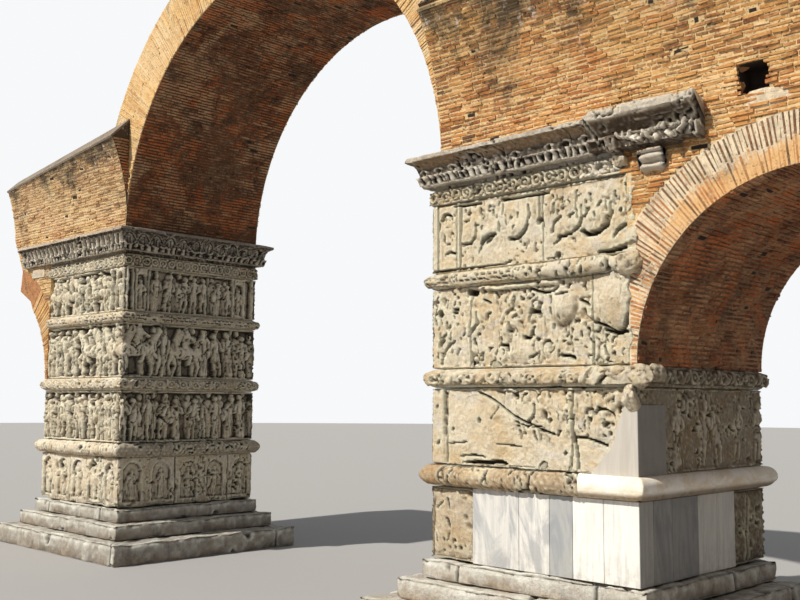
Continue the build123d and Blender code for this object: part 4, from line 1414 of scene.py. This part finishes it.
def makeTori():
    for side, pier in piers.items():
        node = side + "_base_torus"
        z0, z1 = span(node, 2)

        def carve(panel, n):
            pitch, height = 0.12, panel.tall
            x = 0
            while x < panel.width + pitch:
                for level in range(5):
                    at = (x + (pitch / 2 if level % 2 else 0), height * (0.18 + 0.16 * level))
                    press(panel, at, 0.34 * pitch, 0.05 * height, 0.022)
                x += pitch
            panel.ground = -0.03
            weather(panel, 0.45, 0.5, 0.015)
            x = panel.x
            if side == "right" and n == frontSide:
                groove(panel, bow((0.4, 0), (0.42, height), 0.02), 0.016, 0.05)
                plain = x < 0.38
                panel.h[:, plain] = 0.012 * roughness(panel, 0.2)[:, plain]
                groove(panel, [(2.02, 0.1), (2.08, height)], 0.02, 0.04)
                groove(panel, [(1.75, 0), (1.95, 0.12), (2.05, 0.06)], 0.03, 0.05)
                strokes(panel, 0.5, 2.8, 0.05, height, 26, 0.08, 0.012, 0.05)
            # painted shade: each side's share, more on the left passage side, black along the top edge in the
            # gap under the stone above and in the carved dents; the underside is browner, and on the new
            # marble less clean, as painted shade
            low = clamp((0.42 * height - panel.z) / (0.12 * height))[:, None]
            panel.grime[:] = shadeOf[side][n] + (0.35 if side == "left" and n == passageSide else 0)
            panel.grime += 1.3 * (panel.up > 0.88 * height)
            panel.stain += 0.75 * clamp(cloud(panel, 0.4) + 0.8) * (side == "right") + 0.3 * low
            panel.grime += 0.9 * clamp((-panel.h - 0.012) / 0.02)
            if side == "right" and n in (frontSide, outerSide):
                new = x > 2.82 if n == frontSide else x > -1
                panel.h[:, new] = 0.002 * cloud(panel, 0.3)[:, new]
                panel.fresh[:, new] = (1 - 0.75 * low + 0 * x)[:, new]
                panel.stain[:, new] = (0.8 * low + 0 * x)[:, new]
        turns = [-pi / 2 + pi * (k + 0.5) / 15 for k in range(15)]
        swell = [(0.15 * cos(a), (z0 + z1) / 2 + (z1 - z0) / 2 * 0.98 * sin(a)) for a in turns]
        path = [(-0.02, z0), *swell, (-0.02, z1)]
        makeCourse(node, pierMarble[side], "new_marble" if side == "right" else "carved_marble",
            pierCorners(pier, True), path, roughCells[side], carve, 91, True, side == "right", cell=0.03)


makeRegisters()
makeBands()
makeCornices()
makeTori()


# Plinths, steps, slabs and single blocks

def makeLeftPlinth():
    node = "left_plinth"

    def carve(panel, n):
        pitch, up = panel.width / 5, panel.up
        radius = 0.235
        springing = panel.tall - 0.15 - radius
        for k in range(5):
            x = (k + 0.5) * pitch
            arch = archAway(panel, x, springing)
            panel.h = np.where((arch < radius) & (up > 0.16), -0.08, panel.h)
            ring = np.abs(arch - radius - 0.035) < 0.02
            panel.h = np.where(ring & (up > springing), 0.006, panel.h)
            panel.ground = -0.08
            standing(panel, x, 0.18, 0.72, -0.005, 0, True)
            if k in (1, 3):
                groove(panel, bow((x + pitch / 2, 0), (x + pitch / 2, panel.tall), 0.01), 0.014, 0.1)
        fade(panel, 0.7, 0)
        panel.ground = -0.1
        weather(panel, 0.35, 0.6)
        gnawed = clamp(cloud(panel, 0.3) * 1.5) * clamp(1 - up / 0.22)
        panel.h -= 0.14 * gnawed
        # the sides' painted shade, and darker towards the bottom
        panel.grime[:] = shadeOf["left"][n] + 0.5 * clamp(1 - up / 0.6)
    makeCourse(node, paleMarble, "carved_marble", pierCorners(leftPier, True), facePath(*span(node, 2)),
        roughCells["left"], carve, 131, True, cell=0.026)


plinthLook = {"cornerBlock": 0.88, "frontWidths": [0.89, 0.55, 0.4, 0.51, 0.57], "sideStart": 0.35,
    "sideWidths": [0.5, 0.74, 0.57, 0.56], "joint": 0.006, "depth": 0.35,
    "frontTones": [0.62, 0.7, 0.28, 0.98, 0.93], "sideTones": [0.55, 0.42, 0.97, 1]}


def makeRightPlinth():
    node = "right_plinth_old_blocks"
    z0, z1 = span(node, 2)
    near, far = rightPier.near, rightPier.far
    joint, depth = plinthLook["joint"], plinthLook["depth"]
    sideEnd = front + plinthLook["sideStart"] + sum(plinthLook["sideWidths"]) + joint
    corners = [(near + plinthLook["cornerBlock"], front), (near, front), (near, back), (far, back),
        (far, sideEnd)]
    outerBlock = 3

    def carve(panel, n):
        x, z = panel.across, panel.up
        setGround(panel, 0.1)
        middle = panel.width / 2
        edge = np.minimum(np.minimum(x, panel.width - x), np.minimum(z, panel.tall - z))
        panel.h = -0.06 * clamp(1 - edge / 0.2)**2 - 0.02 + 0.02 * roughness(panel, 0.45)
        if n in (passageSide, backSide):
            slabJoints(panel, (0.7, 1.1), 1.3, 0.8)
        weather(panel, 0.2, 0.35, 0, 0.6)
        if n == frontSide:
            press(panel, (middle - 0.06, 0.62), 0.09, 0.3, -0.03)
            cut(panel, [(0.016, (middle - 0.1, 0.96), (middle - 0.06, 0.82)),
                (0.02, (middle - 0.12, 0.66), (middle - 0.07, 0.54)),
                (0.012, (middle - 0.07, 0.45), (middle - 0.1, 0.32)), (0.014, (0.1, 0.8), (0.25, 0.92))],
                0.05)
        if n == outerBlock:
            cut(panel, [(0.02, (middle - 0.1, 0), (middle - 0.12, 0.5), (middle - 0.06, 1.1)),
                (0.03, (middle + 0.1, 0.7))], 0.05)
        panel.stain[:] = 0.1 if n == outerBlock else 0.35
        # painted shade on the outer block's side, which lies in shade; darker towards the bottom
        panel.grime[:] = (1 if n == outerBlock else 0.1) + 0.3 * clamp(1 - z / 0.4)
    makeCourse(node, creamMarble, "carved_marble", corners, facePath(z0, z1), [0.022, 0.05, 0.05, 0.03],
        carve, 151, False, True, cell=0.026)
    slabs = []
    low, high = z0 + 0.004, z1 - 0.004
    x = near + plinthLook["cornerBlock"]
    for width, tone in zip(plinthLook["frontWidths"], plinthLook["frontTones"]):
        slabs.append(((x + joint, front, low), (x + width, front + depth, high), tone))
        x += width
    y = front + plinthLook["sideStart"]
    for width, tone in zip(plinthLook["sideWidths"], plinthLook["sideTones"]):
        slabs.append(((far - depth, y + joint, low), (far, y + width, high), tone))
        y += width
    slabPiece("newSlabs", slabs, slabMarble, "new_marble", "right_plinth_new_slabs")


def slabPiece(name, slabs, material, slot, *replaced):   # sawn slabs with fine worn edges
    whole = bmesh.new()
    tones = whole.verts.layers.float.new("tone")
    for low, high, tone in slabs:
        made = addBox(whole, Vector(low), Vector(high))
        edges = {e for v in made for e in v.link_edges}
        cut = bmesh.ops.bevel(whole, geom=list(edges), offset=0.007, offset_type="OFFSET", segments=2,
            profile=0.5, affect="EDGES", material=-1)
        for v in {v for f in cut["faces"] for v in f.verts} | set(v for v in made if v.is_valid):
            v[tones] = tone
    return addPiece(name, meshOf(whole, name), material, slot, *replaced)


def makeSteps():
    for side, pier in piers.items():
        for step, tread in [("lower", 0.56), ("middle", 0.38), ("upper", 0.18)]:
            node = side + "_step_" + step
            (x0, x1), (y0, y1), (z0, z1) = (span(node, axis) for axis in range(3))
            near, far = (x0, x1) if side == "right" else (x1, x0)
            corners = [(far, y0), (near, y0), (near, y1), (far, y1)]
            path = [(-0.02, z0), (0, z0 + 0.01), (0, z1 - 0.02), (-0.02, z1), (-tread, z1),
                (-tread, z1 - 0.03)]

            def carve(panel, n):
                z = panel.up
                rise = z1 - z0
                joints = panel.rng.uniform(0.7, 1.2)
                while joints < panel.width:
                    groove(panel, [(joints, 0), (joints, panel.tall)], 0.012, 0.03)
                    joints += panel.rng.uniform(0.8, 1.5)
                nose = np.exp(-((z - rise) / 0.05)**2)
                panel.h -= nose * (0.02 + 0.06 * np.abs(roughness(panel, 0.5)))
                panel.h += 0.024 * roughness(panel, 0.35) - 0.018
                broken = np.clip(roughness(panel, 0.45) - 0.75, 0, 0.5)
                panel.h = np.minimum(panel.h - 0.16 * broken, 0)
                panel.ground = -0.05
                low = clamp(1 - z / (0.5 * rise))
                # half the sides' painted shade; the left steps are darker overall, and the lower part of each
                # riser is dirtier and stained
                panel.grime[:] = shadeOf[side][n] * 0.5 + (0.5 if side == "left" else 0.1)
                panel.grime += 0.4 * low * clamp(0.6 + roughness(panel, 0.3))
                panel.stain[:] = 0.7 * low * clamp(0.5 + roughness(panel, 0.4))
            makeCourse(node, stepStone, "step_stone", corners, path, [0.045, 0.045, 0.12, 0.08], carve, 171,
                True, side == "right", 0.6, cell=0.04, name=node + "Stone")


def blockPlan(node):   # the ends of its line along the wall, its foot and top, and how far it stands out
    x, y, z = (span(node, axis) for axis in range(3))
    return [(x[1], front), (x[0], front)], z[0], z[1], front - y[0]


def makeBlock():
    ends, z0, z1, reach = blockPlan("right_cornice_block")

    def carve(panel, n):
        x, z = panel.x, panel.up
        leafLow, leafTop, band = (levels(panel, rise) for rise in (0.05, 0.22, 0.47))
        panel.ground = -0.07
        panel.h += 0.01 * roughness(panel, 0.3)
        leafy = (z < leafTop + 0.02) & (x > 0.45) & (x < 1.6)
        panel.h[leafy] = -0.03
        for at in np.arange(0.52, 1.55, 0.065):   # broken leaves
            place = (at, panel.rng.uniform(leafLow, leafTop))
            limb(panel, place, (at + panel.rng.normal(0, 0.04), place[1] + 0.06), 0.035, 0.02, 0.06)
        limb(panel, (0.8, band - 0.13), (1.5, band - 0.1), 0.014, 0.014, 0.02)
        limb(panel, (0.1, band + 0.02), (1.75, band + 0.02), 0.02, 0.02, 0.014)
        weather(panel, 0.2, 0.45, 0.06, 0.7)
        panel.h -= 0.08 * clamp((0.3 - x) / 0.05) * clamp((leafTop - z) / 0.05)
        cut(panel, [(0.013, (0.02, band + 0.03), (0.1, leafTop + 0.1), (0.3, leafLow)),
            (0.03, (1.00, leafTop - 0.08), (1.01, leafTop + 0.05)),
            (0.03, (1.34, leafTop - 0.06), (1.35, leafTop + 0.05)),
            (0.03, (1.6, leafLow), (1.61, leafTop + 0.08)),
            (0.012, (1.64, leafTop), (1.68, band - 0.08), (1.66, band - 0.02))], 0.09)
        # stain under the top band; painted highlight on the leaves; painted shade on the face under the band,
        # in the leaves' gaps, on the shaded right end and along the underside; the top band is kept lighter
        panel.stain += 0.9 * clamp((band - z) / 0.05) + 0 * x
        leaves = clamp((leafTop - z) / 0.04) * clamp((x - 0.48) / 0.1) * clamp((1.58 - x) / 0.04)
        panel.stain -= 0.8 * leaves
        panel.fresh += leaves * (z > leafLow) * np.clip((panel.h + 0.02) / 0.03, 0, 0.7) + 0.12 * (z > band)
        panel.grime += 1 * clamp((band - z) / 0.05) * (1 - leaves) - 0.4 * (z > band)
        panel.grime += 1.2 * leaves * clamp((-0.025 - panel.h) / 0.02)
        panel.grime[:, x > 1.78] = 1.1
        panel.grime[(z < levels(panel, 0.03))[:, 0]] = 1
    path = [(-0.02, z0), (0.09, z0 + 0.02), (0.2, z0 + 0.04), (0.25, z0 + 0.21), (reach - 0.2, z0 + 0.27),
        (reach - 0.03, z0 + 0.45), (reach, z0 + 0.49), (reach, z0 + 0.56), (reach - 0.04, z0 + 0.62),
        (-0.02, z1)]
    makeCourse("right_cornice_block", greyMarble, "weathered_marble", ends, path, [0.018], carve, 201,
        False, True, 0.28, cell=0.018, name="corniceBlockCarving")


def makeBracket():
    ends, z0, z1, reach = blockPlan("right_bracket_block")
    path = [(-0.02, z0)]
    for low, high, out in [(z0, z0 + 0.12, reach * 0.75), (z0 + 0.12, z0 + 0.25, reach * 0.92),
            (z0 + 0.25, z1, reach)]:
        path += arc((out - 0.09, low), (out, (low + high) / 2), (out - 0.09, high), 8)[:-1]
    path.append((-0.02, z1))

    def carve(panel, n):
        edge = np.minimum(panel.x, panel.width - panel.x)
        panel.ground = -0.05
        panel.h += 0.01 * roughness(panel, 0.2) - 0.05 * clamp(1 - edge / 0.08)**2
        # paler all over; painted shade along its right edge, the end in shade
        panel.fresh[:] = 0.3
        panel.grime[:, panel.x > panel.width - 0.02] = 1
    makeCourse("right_bracket_block", greyMarble, "weathered_marble", ends, path, [0.018], carve, 205,
        False, True, 0.2, cell=0.018, name="bracketCarving")


def makeLump(name, at, sizes, seed, material, slot, planes=9, grime=0):   # a broken chunk with flat faces
    bm = bmesh.new()
    bmesh.ops.create_icosphere(bm, subdivisions=5, radius=1)
    rng = default_rng(seed)
    offset = Vector(rng.uniform(-50, 50, 3))
    faces = [(Vector(rng.normal(0, 1, 3)).normalized(), rng.uniform(0.55, 0.85)) for _ in range(planes)]
    layers = [bm.verts.layers.float.new(key) for key in ("hollowDirtAndShade", "crestHighlight", "grime")]
    for v in bm.verts:
        p = v.co.copy()
        reach = min([1] + [far / p.dot(facing) for facing, far in faces if p.dot(facing) > 0.05])
        rough = noise.fractal(p * 2.5 + offset, 1, 2, 5)
        reach *= 1 + 0.07 * rough
        v.co = Vector((p[k] * sizes[k] * reach for k in range(3))) + Vector(at)
        # painted shade in the low parts of the rough surface, painted highlight on the high parts
        v[layers[0]] = min(0.9, max(0, -rough * 1.5 - 0.2))
        v[layers[1]] = min(1, max(0, rough))
        v[layers[2]] = grime
    return addPiece(name, meshOf(bm, name, True), material, slot)


def makeLumps():
    near = rightPier.near
    bandTop = span("right_band_middle", 2)[1]
    low = span("right_band_lower", 2)[0]
    for n, (x, y, z, sizes, grime) in enumerate([(3.66, 0, bandTop - 0.13, (0.25, 0.17, 0.21), 0),
            (3.84, 0, low + 0.14, (0.22, 0.16, 0.17), 0.2),
            (3.93, 0.24, low + 0.17, (0.14, 0.22, 0.15), 0.5),
            (3.7, -0.02, low - 0.16, (0.17, 0.13, 0.2), 0),
            (3.48, -0.03, low + 0.17, (0.2, 0.12, 0.13), 0.1),
            (3.2, -0.03, low + 0.2, (0.16, 0.1, 0.12), 0.1),
            (3.62, -0.02, span("right_bracket_block", 2)[0] + 0.24, (0.14, 0.12, 0.12), 0)]):
        makeLump(f"brokenStone{n}", (near + x, front + y, z), sizes, 3 + n, creamMarble, "carved_marble", 9,
            grime)


makeLeftPlinth()
makeRightPlinth()
makeSteps()
makeBlock()
makeBracket()
makeLumps()
print("plinths, steps and blocks made")


# Bricks: each course is a row of blocks set a little proud of the mortar body

brickLook = {"proud": 0.013, "bedded": 0.03, "height": 0.043, "pitch": 0.068, "length": 0.25,
    "joint": 0.008, "ringPitch": 0.069, "ringHeight": 0.044, "ringLength": 0.55, "soffitPitch": 0.07}
boxLow, boxHigh = (np.array(corner) for corner in cadBounds)


def layCourse(rows, start, end, place, rng, length=None, height=None, lost=0.012, tint=0.48, stand=1):
    room = end - start
    if room < 0.05:
        return
    count = max(1, round(room / (length or brickLook["length"])))
    widths = rng.uniform(0.62, 1.38, count)
    widths *= room / widths.sum()
    edges = start + np.concatenate([[0], np.cumsum(widths)])
    point, along, up, out = (np.array(v, float) for v in place)
    centre = point + ((edges[1:] + edges[:-1]) / 2)[:, None] * along
    tall = (height or brickLook["height"]) * rng.uniform(0.65, 1.2, count)
    proud = brickLook["proud"] * stand * rng.choice([0.3, 0.8, 1.8], count, p=[0.35, 0.45, 0.2])
    tone = np.clip(rng.normal(rng.normal(tint, 0.08), 0.12, count), 0.04, 1)
    odd = rng.random(count)
    tone[odd < 0.05] = 0.15
    tone[odd > 0.96] = 0.9
    # lost bricks lie nearly flush and get tone 0, which the brick material paints near black as the shade of
    # their holes
    gone = rng.random(count) < lost
    tone[gone] = 0
    proud[gone] = 0.002
    tall[gone] *= 1.5
    widths[gone] *= rng.uniform(0.3, 0.9, count)[gone]
    centre = centre + up * rng.normal(0, 0.0025, count)[:, None]
    rows.append(np.column_stack([centre, along * np.maximum(widths - brickLook["joint"], 0.03)[:, None],
        up * tall[:, None], np.tile(out, (count, 1)), proud, tone]))


def brickPiece(name, rows, material, slot, seed):
    table = np.vstack(rows)
    count = len(table)
    bm = bmesh.new()
    bmesh.ops.create_cube(bm, size=1)
    corners = np.array([v.co[:] for v in bm.verts])
    faces = np.array([[v.index for v in f.verts] for f in bm.faces])
    bm.free()
    centre, along, up, out = table[:, 0:3], table[:, 3:6], table[:, 6:9], table[:, 9:12]
    proud, tone = table[:, 12], table[:, 13]
    outside = corners[:, 1] < 0                       # the cube's -Y side is the brick's face
    draft = np.where(outside, 0.9, 1)
    depth = np.where(outside[None, :], proud[:, None], -brickLook["bedded"])
    length = np.linalg.norm(along, axis=1)
    narrow = 1 - np.where(outside[None, :], 0.01 / length[:, None], 0)
    rng = default_rng(seed)
    tip = rng.normal(0, 0.006, count)                 # some bricks lie a little out of level
    co = centre[:, None, :] + along[:, None, :] * (corners[:, 0][None, :] * narrow)[:, :, None]
    co = co + up[:, None, :] * (corners[:, 2] * draft)[None, :, None] + out[:, None, :] * depth[:, :, None]
    level = up / np.linalg.norm(up, axis=1)[:, None]
    co = co + level[:, None, :] * (corners[:, 0][None, :] * tip[:, None])[:, :, None]
    co += rng.normal(0, 0.0024, co.shape)
    co = np.clip(co, boxLow + 0.001, boxHigh - 0.001)
    index = faces[None] + 8 * np.arange(count)[:, None, None]
    mesh = bpy.data.meshes.new(name)
    mesh.from_pydata(co.reshape(-1, 3), [], index.reshape(-1, 4))
    layer = mesh.attributes.new("tone", "FLOAT", "POINT")
    layer.data.foreach_set("value", np.repeat(tone, 8).astype(np.float32))
    bm = bmesh.new()
    bm.from_mesh(mesh)
    bpy.data.meshes.remove(mesh)
    print(name, "has", count, "bricks")
    return addPiece(name, meshOf(bm, name), material, slot)


def lean(rise):   # how far the lost vault leans out over the front, at a height over its spring
    rise = min(max(rise, 0), vaultRadius * 0.95)
    return vaultRadius - sqrt(vaultRadius**2 - rise**2)


# Where a course runs: a point of its line, and the three directions along it, up and out

def facePlace(z, y, out, tilt=0):
    c, s = cos(tilt), sin(tilt)
    return (0, y, z), (1, 0, 0), (0, -s, c), (0, out * c, -s)


def leaningPlace(z, out):   # on the front, square to the lost vault where the wall leans out
    return facePlace(z, front - out, -1, asin(min(0.95, (z - spring) / vaultRadius)) if out else 0)


def endPlace(x, z, out):
    return (x, 0, z), (0, 1, 0), (0, 0, 1), (out, 0, 0)


def radialPlace(arch, angle, y, out):
    c, s = cos(angle), sin(angle)
    return (arch.x, y, arch.z), (c, 0, s), (-s, 0, c), (0, out, 0)


def barrelPlace(arch, angle, radius):
    c, s = cos(angle), sin(angle)
    return (arch.x + radius * c, 0, arch.z + radius * s), (0, 1, 0), (-s, 0, c), (-c, 0, -s)


def beyond(arch, z, way):   # where a level line at z meets the outside of a ring
    return across(arch, z, way, arch.outer)


def across(arch, z, way, radius):
    rise = z - arch.z
    if rise >= radius or rise < 0:
        return arch.x
    return arch.x + way * sqrt(radius**2 - rise**2)


shoulderRise = wallLook["shoulder"]
shoulderX = across(mainArch, spring + shoulderRise, 1, mainArch.outer)
kneeX = rightPier.far + wallLook["kneeRun"]
outerFar, outerNear = wallLook["outerFar"], wallLook["outerNear"]
vaultFrom = 0.3   # the vault's springers start this far over the spring


def rightTopEnd(z):   # how far right the wall reaches at a height
    rises = [0, wallLook["endRise"], wallLook["kneeRise"], shoulderRise]
    return float(np.interp(z - spring, rises, [outerFar, outerFar, kneeX, shoulderX]))


def leftBreak():
    angle = radians(wallLook["breakAngle"])
    x = sideArch.x - middle - sideArch.inner * cos(angle)
    z = sideArch.z + sideArch.inner * sin(angle)
    points = [(x, z)]
    for stepX, stepZ in wallLook["breakSteps"]:
        x, z = x + stepX, z + stepZ
        points.append((x, z))
    return points


breakLine = leftBreak()


def leftEdge(z):   # how far left the broken wall reaches at a height
    return middle - float(np.interp(z, [p[1] for p in breakLine], [p[0] for p in breakLine]))


def leftLimit(rise):   # how far left the wall's sloping top still covers a height
    full = wallLook["springerRise"]["left"]
    if rise > full:
        return None
    return leftPier.near - (full - rise) / wallLook["leftFall"] * (leftPier.near - leftFar)


def holeGap():
    offset, level, width, height = wallLook["hole"]
    x0 = sideArch.x - offset - width / 2
    z = spring + level
    return x0, x0 + width, z - height / 2, z + height / 2


def splitAt(gaps, x0, x1):
    parts = []
    for a, b in gaps:
        if a < x0 < b or a < x1 < b:
            parts += [(a, x0), (x1, b)]
        else:
            parts.append((a, b))
    return [(a, b) for a, b in parts if b - a > 0.05]


def rightFrontRow(z):   # the stretches of brick at a height on the wall's front, and how far they lean out
    rise, slope = z - spring, wallLook["springerRise"]["right"]
    if rise < 0:
        start = rightPier.openFar + overrun(z)
    elif rise < vaultFrom:
        start = springerNear["right"]
    elif rise + lean(rise) < slope:
        return [(springerNear["right"], outerFar)], lean(rise)
    elif rise < slope:
        return [], 0
    else:
        start = beyond(mainArch, z, 1)
    return [(start, rightTopEnd(z))], 0


def leftFrontRow(z):
    rise = z - spring
    if rise < 0:
        return [(leftEdge(z), leftPier.openFar)], 0
    out = lean(rise) if rise > vaultFrom else 0
    limit = leftLimit(rise + out)
    if limit is None:
        return [], 0
    end = springerNear["left"] if out else across(mainArch, z, -1, mainArch.inner)
    return [(max(leftEdge(z), limit), end)], out


def leftBackRow(z):
    rise = z - spring
    if rise < 0:
        return [(leftEdge(z), leftPier.openFar)]
    limit = leftLimit(rise)
    return [] if limit is None else [(max(leftEdge(z), limit), beyond(mainArch, z, -1))]


def wallBricks():
    rng = default_rng(5)
    rightRows, leftRows = [], []
    holeX0, holeX1, holeZ0, holeZ1 = holeGap()
    z = sideArch.z + 0.06
    while z < spring + shoulderRise:
        rise = z - spring
        stretches, out = rightFrontRow(z)
        if rise < 0:
            stretches = splitAt(stretches, beyond(sideArch, z, -1), beyond(sideArch, z, 1))
        if holeZ0 < z < holeZ1:
            stretches = splitAt(stretches, holeX0 + rng.uniform(-0.05, 0.09),
                holeX1 + rng.uniform(-0.09, 0.05))
        for a, b in stretches:
            beside = 0.12 if rise < 0 and a < rightPier.openFar + 0.3 else 0
            layCourse(rightRows, a - beside + 0.01, b - 0.01, leaningPlace(z, out), rng)
        start = rightPier.openFar + overrun(z) if rise < 0 else beyond(mainArch, z, 1)
        behind = splitAt([(start, rightTopEnd(z))], beyond(sideArch, z, -1), beyond(sideArch, z, 1))
        for a, b in (behind if z < sideArch.z + sideArch.outer else [(start, rightTopEnd(z))]):
            layCourse(rightRows, a + 0.01, b - 0.01, facePlace(z, back, 1), rng)
        stretches, out = leftFrontRow(z)
        lost = beyond(lostArch, z, 1) if z < sideArch.z + sideArch.outer else -99
        for a, b in stretches:
            layCourse(leftRows, max(a + rng.uniform(-0.02, 0.05), lost) + 0.01, b - 0.01,
                leaningPlace(z, out), rng)
        for a, b in leftBackRow(z):
            layCourse(leftRows, max(a, lost) + 0.01, b - 0.01, facePlace(z, back, 1), rng)
        z += brickLook["pitch"] * rng.uniform(0.93, 1.07)
    brickPiece("rightWallBricks", rightRows, wallBrick, "wall_brick", 1)
    brickPiece("leftWallBricks", leftRows, stubBrick, "wall_brick", 2)


def layOuterPier(rows, z, rng, *sizes):   # one course round the outer pier
    for x, out in [(outerNear, -1), (outerFar, 1)]:
        layCourse(rows, front + 0.01, back - 0.01, endPlace(x, z, out), rng, *sizes)
    for y, out in [(front, -1), (back, 1)]:
        layCourse(rows, outerNear + 0.01, outerFar - 0.01, facePlace(z, y, out), rng, *sizes)


def endBricks():
    rng = default_rng(8)
    rows, shaded = [], []
    z = wallLook["stoneTop"] + 0.05
    while z < spring + wallLook["springerRise"]["right"]:
        rise = z - spring
        if z < sideArch.z:
            layOuterPier(rows, z, rng)
        elif rise < wallLook["endRise"]:
            layCourse(rows, front - (lean(rise) if rise > vaultFrom else 0) + 0.01, back - 0.01,
                endPlace(outerFar, z, 1), rng)
        lowTop = wallLook["springerRise"]["left"] - wallLook["leftFall"]
        if z > breakLine[0][1] and rise < lowTop:
            outward = min(lean(rise), lowTop - rise) if rise > vaultFrom else 0
            layCourse(rows, front - outward + 0.01, back - 0.01, endPlace(leftEdge(z), z, -1), rng, 0.2)
        for side, to, out in [("left", shaded, 1), ("right", rows, -1)]:
            if vaultFrom < rise and rise + lean(rise) < wallLook["springerRise"][side]:
                place = endPlace(springerNear[side], z, out)
                layCourse(to, front - lean(rise) + 0.01, front - 0.005, place, rng, 0.2)
        z += brickLook["pitch"]
    slope = sqrt(0.5)
    down = 0.03
    while down < 0.74:   # the right springer's sloping top
        top = spring + wallLook["springerRise"]["right"] - down * slope + 0.085 * slope
        y = front - down * slope - 0.06 * slope
        place = (0, y, top), (1, 0, 0), (0, slope, slope), (0, -slope, slope)
        layCourse(rows, springerNear["right"] + 0.01, springerNear["right"] + 2.2, place, rng)
        down += brickLook["pitch"]
    brickPiece("endBricks", rows, wallBrick, "wall_brick", 5)
    # the left springer's end face is laid in the darker soffit brick: painted shade
    brickPiece("shadedEndBricks", shaded, soffitShadeBrick, "wall_brick", 9)


def ringAngles(pitch, radius):   # the bricks' angles in each of the three arches
    for arch, last in [(mainArch, 180), (sideArch, 180), (lostArch, wallLook["breakAngle"])]:
        step = degrees(pitch / getattr(arch, radius))
        start = degrees(asin((spring - arch.z) / arch.inner)) if arch is mainArch else 0
        angle = start + step / 2
        while angle < min(last, 180 - start):
            yield arch, angle
            angle += step


def ringFaces():
    rng = default_rng(6)
    mainRows, sideRows = [], []
    for arch, angle in ringAngles(brickLook["ringPitch"], "outer"):
        rows = sideRows if arch is sideArch else mainRows
        height = brickLook["ringHeight"]
        a = radians(angle)
        for y, out in [(front, -1), (back, 1)]:
            end = arch.outer - 0.02 * rng.random()
            if arch is mainArch and out < 0:   # the springers cover the ring's feet
                side = "right" if angle < 90 else "left"
                reach = abs(springerNear[side] - arch.x)
                if reach * abs(tan(a)) + arch.z - spring < wallLook["springerRise"][side]:
                    end = min(end, reach / abs(cos(a)))
            if arch is sideArch and angle > 90:
                room = sideArch.x - rightPier.openFar
                meets = min(end, room / abs(cos(a)))
                end = min(end, (room + 0.06 - overrun(arch.z + meets * sin(a))) / abs(cos(a)))
            if arch is lostArch:
                end = min(end, (leftPier.openFar - lostArch.x) / cos(a))
            start = arch.inner - 0.003
            tint, stand = (0.25 if arch is lostArch else 0.48), 1
            # towards the top: dark thin bricks, and a smooth ochre band along the inner edge
            if arch is sideArch:
                climb = min(angle, 180 - angle)
                tint, stand = float(np.interp(climb, [0, 25, 45, 70], [0.6, 0.5, 0.2, 0])), 0.35
                height = float(np.interp(climb, [0, 25, 50], [0.036, 0.034, 0.031]))
                inside = start + float(np.interp(climb, [20, 50], [0.02, 0.3])) + 0.1 * rng.random()
                if climb > 22:
                    layCourse(rows, start, inside, radialPlace(arch, a, y, out), rng, 0.4, 0.03, 0, 0.55,
                        0.25)
                    start = inside
            layCourse(rows, start, end, radialPlace(arch, a, y, out), rng, brickLook["ringLength"], height,
                0.012, tint, stand)
    brickPiece("mainRingBricks", mainRows, ringBrick, "ring_brick", 3)
    brickPiece("sideRingBricks", sideRows, sideBrick, "ring_brick", 7)


def soffits():
    rng = default_rng(7)
    rows = []
    for arch, angle in ringAngles(brickLook["soffitPitch"], "inner"):
        place = barrelPlace(arch, radians(angle), arch.inner)
        layCourse(rows, front + 0.01, back - 0.01, place, rng, None, 0.044)
    brickPiece("soffitBricks", rows, soffitShadeBrick, "ring_brick", 4)


def outerStones():
    rng = default_rng(12)
    rows = []
    z0, z1 = span("outer_pier_stone", 2)
    height = (z1 - z0) / 4
    for n in range(4):
        layOuterPier(rows, z0 + height * (n + 0.5), rng, 0.8, height * 0.93, 0)
    brickPiece("outerPierStones", rows, stepStone, "step_stone", 6)


def holeLining():   # the inside of the blind beam hole, painted near black as its shade
    x0, x1, z0, z1 = holeGap()
    mouth, floor = front + 0.03, front + 0.36
    bm = bmesh.new()
    for low, high in [((x0, front + 0.35, z0), (x1, front + 0.37, z1)),
            ((x0, mouth, z0), (x0 + 0.02, floor, z1)), ((x1 - 0.02, mouth, z0), (x1, floor, z1)),
            ((x0, mouth, z0), (x1, floor, z0 + 0.02)), ((x0, mouth, z1 - 0.02), (x1, floor, z1))]:
        addBox(bm, low, high)
    addPiece("beamHoleLining", meshOf(bm, "beamHoleLining"), holeShade, "wall_brick")
    for n, (x, z, size) in enumerate([(x0 - 0.01, z1, 0.13), (x0 - 0.02, z0 + 0.14, 0.09),
            (x1 + 0.02, z1 + 0.01, 0.1), (x0 + 0.01, z0, 0.08), (x1, z0 + 0.01, 0.06)]):
        makeLump(f"holeEdge{n}", (x, front + 0.1, z), (size, 0.11, size), 40 + n, brokenMortar,
            "wall_brick")
    makeLump("holePlaster", (x0 + 0.34, front + 0.01, z0 - 0.09), (0.4, 0.03, 0.13), 50, sideMortar,
        "wall_brick", 4)


wallBricks()
endBricks()
ringFaces()
soffits()
outerStones()
holeLining()

dressing = {
    wallMortar: ["left_haunch_wall", "left_stub_wall", "right_haunch_wall", "side_arch_wall",
                 "right_springer", "outer_pier_brick", "right_coping"],
    springerMortar: ["left_springer"],
    ringMortar: ["main_arch_ring"],
    brokenMortar: ["left_side_arch_stub"],
    sideMortar: ["side_arch_ring"],
    copingMortar: ["left_coping"],
    stepStone: ["left_core", "right_core", "outer_pier_footing", "outer_pier_stone"],
    patchMarble: ["right_relief_patch"],
}
for material, dressed in dressing.items():
    for node in dressed:
        dress(node, material)
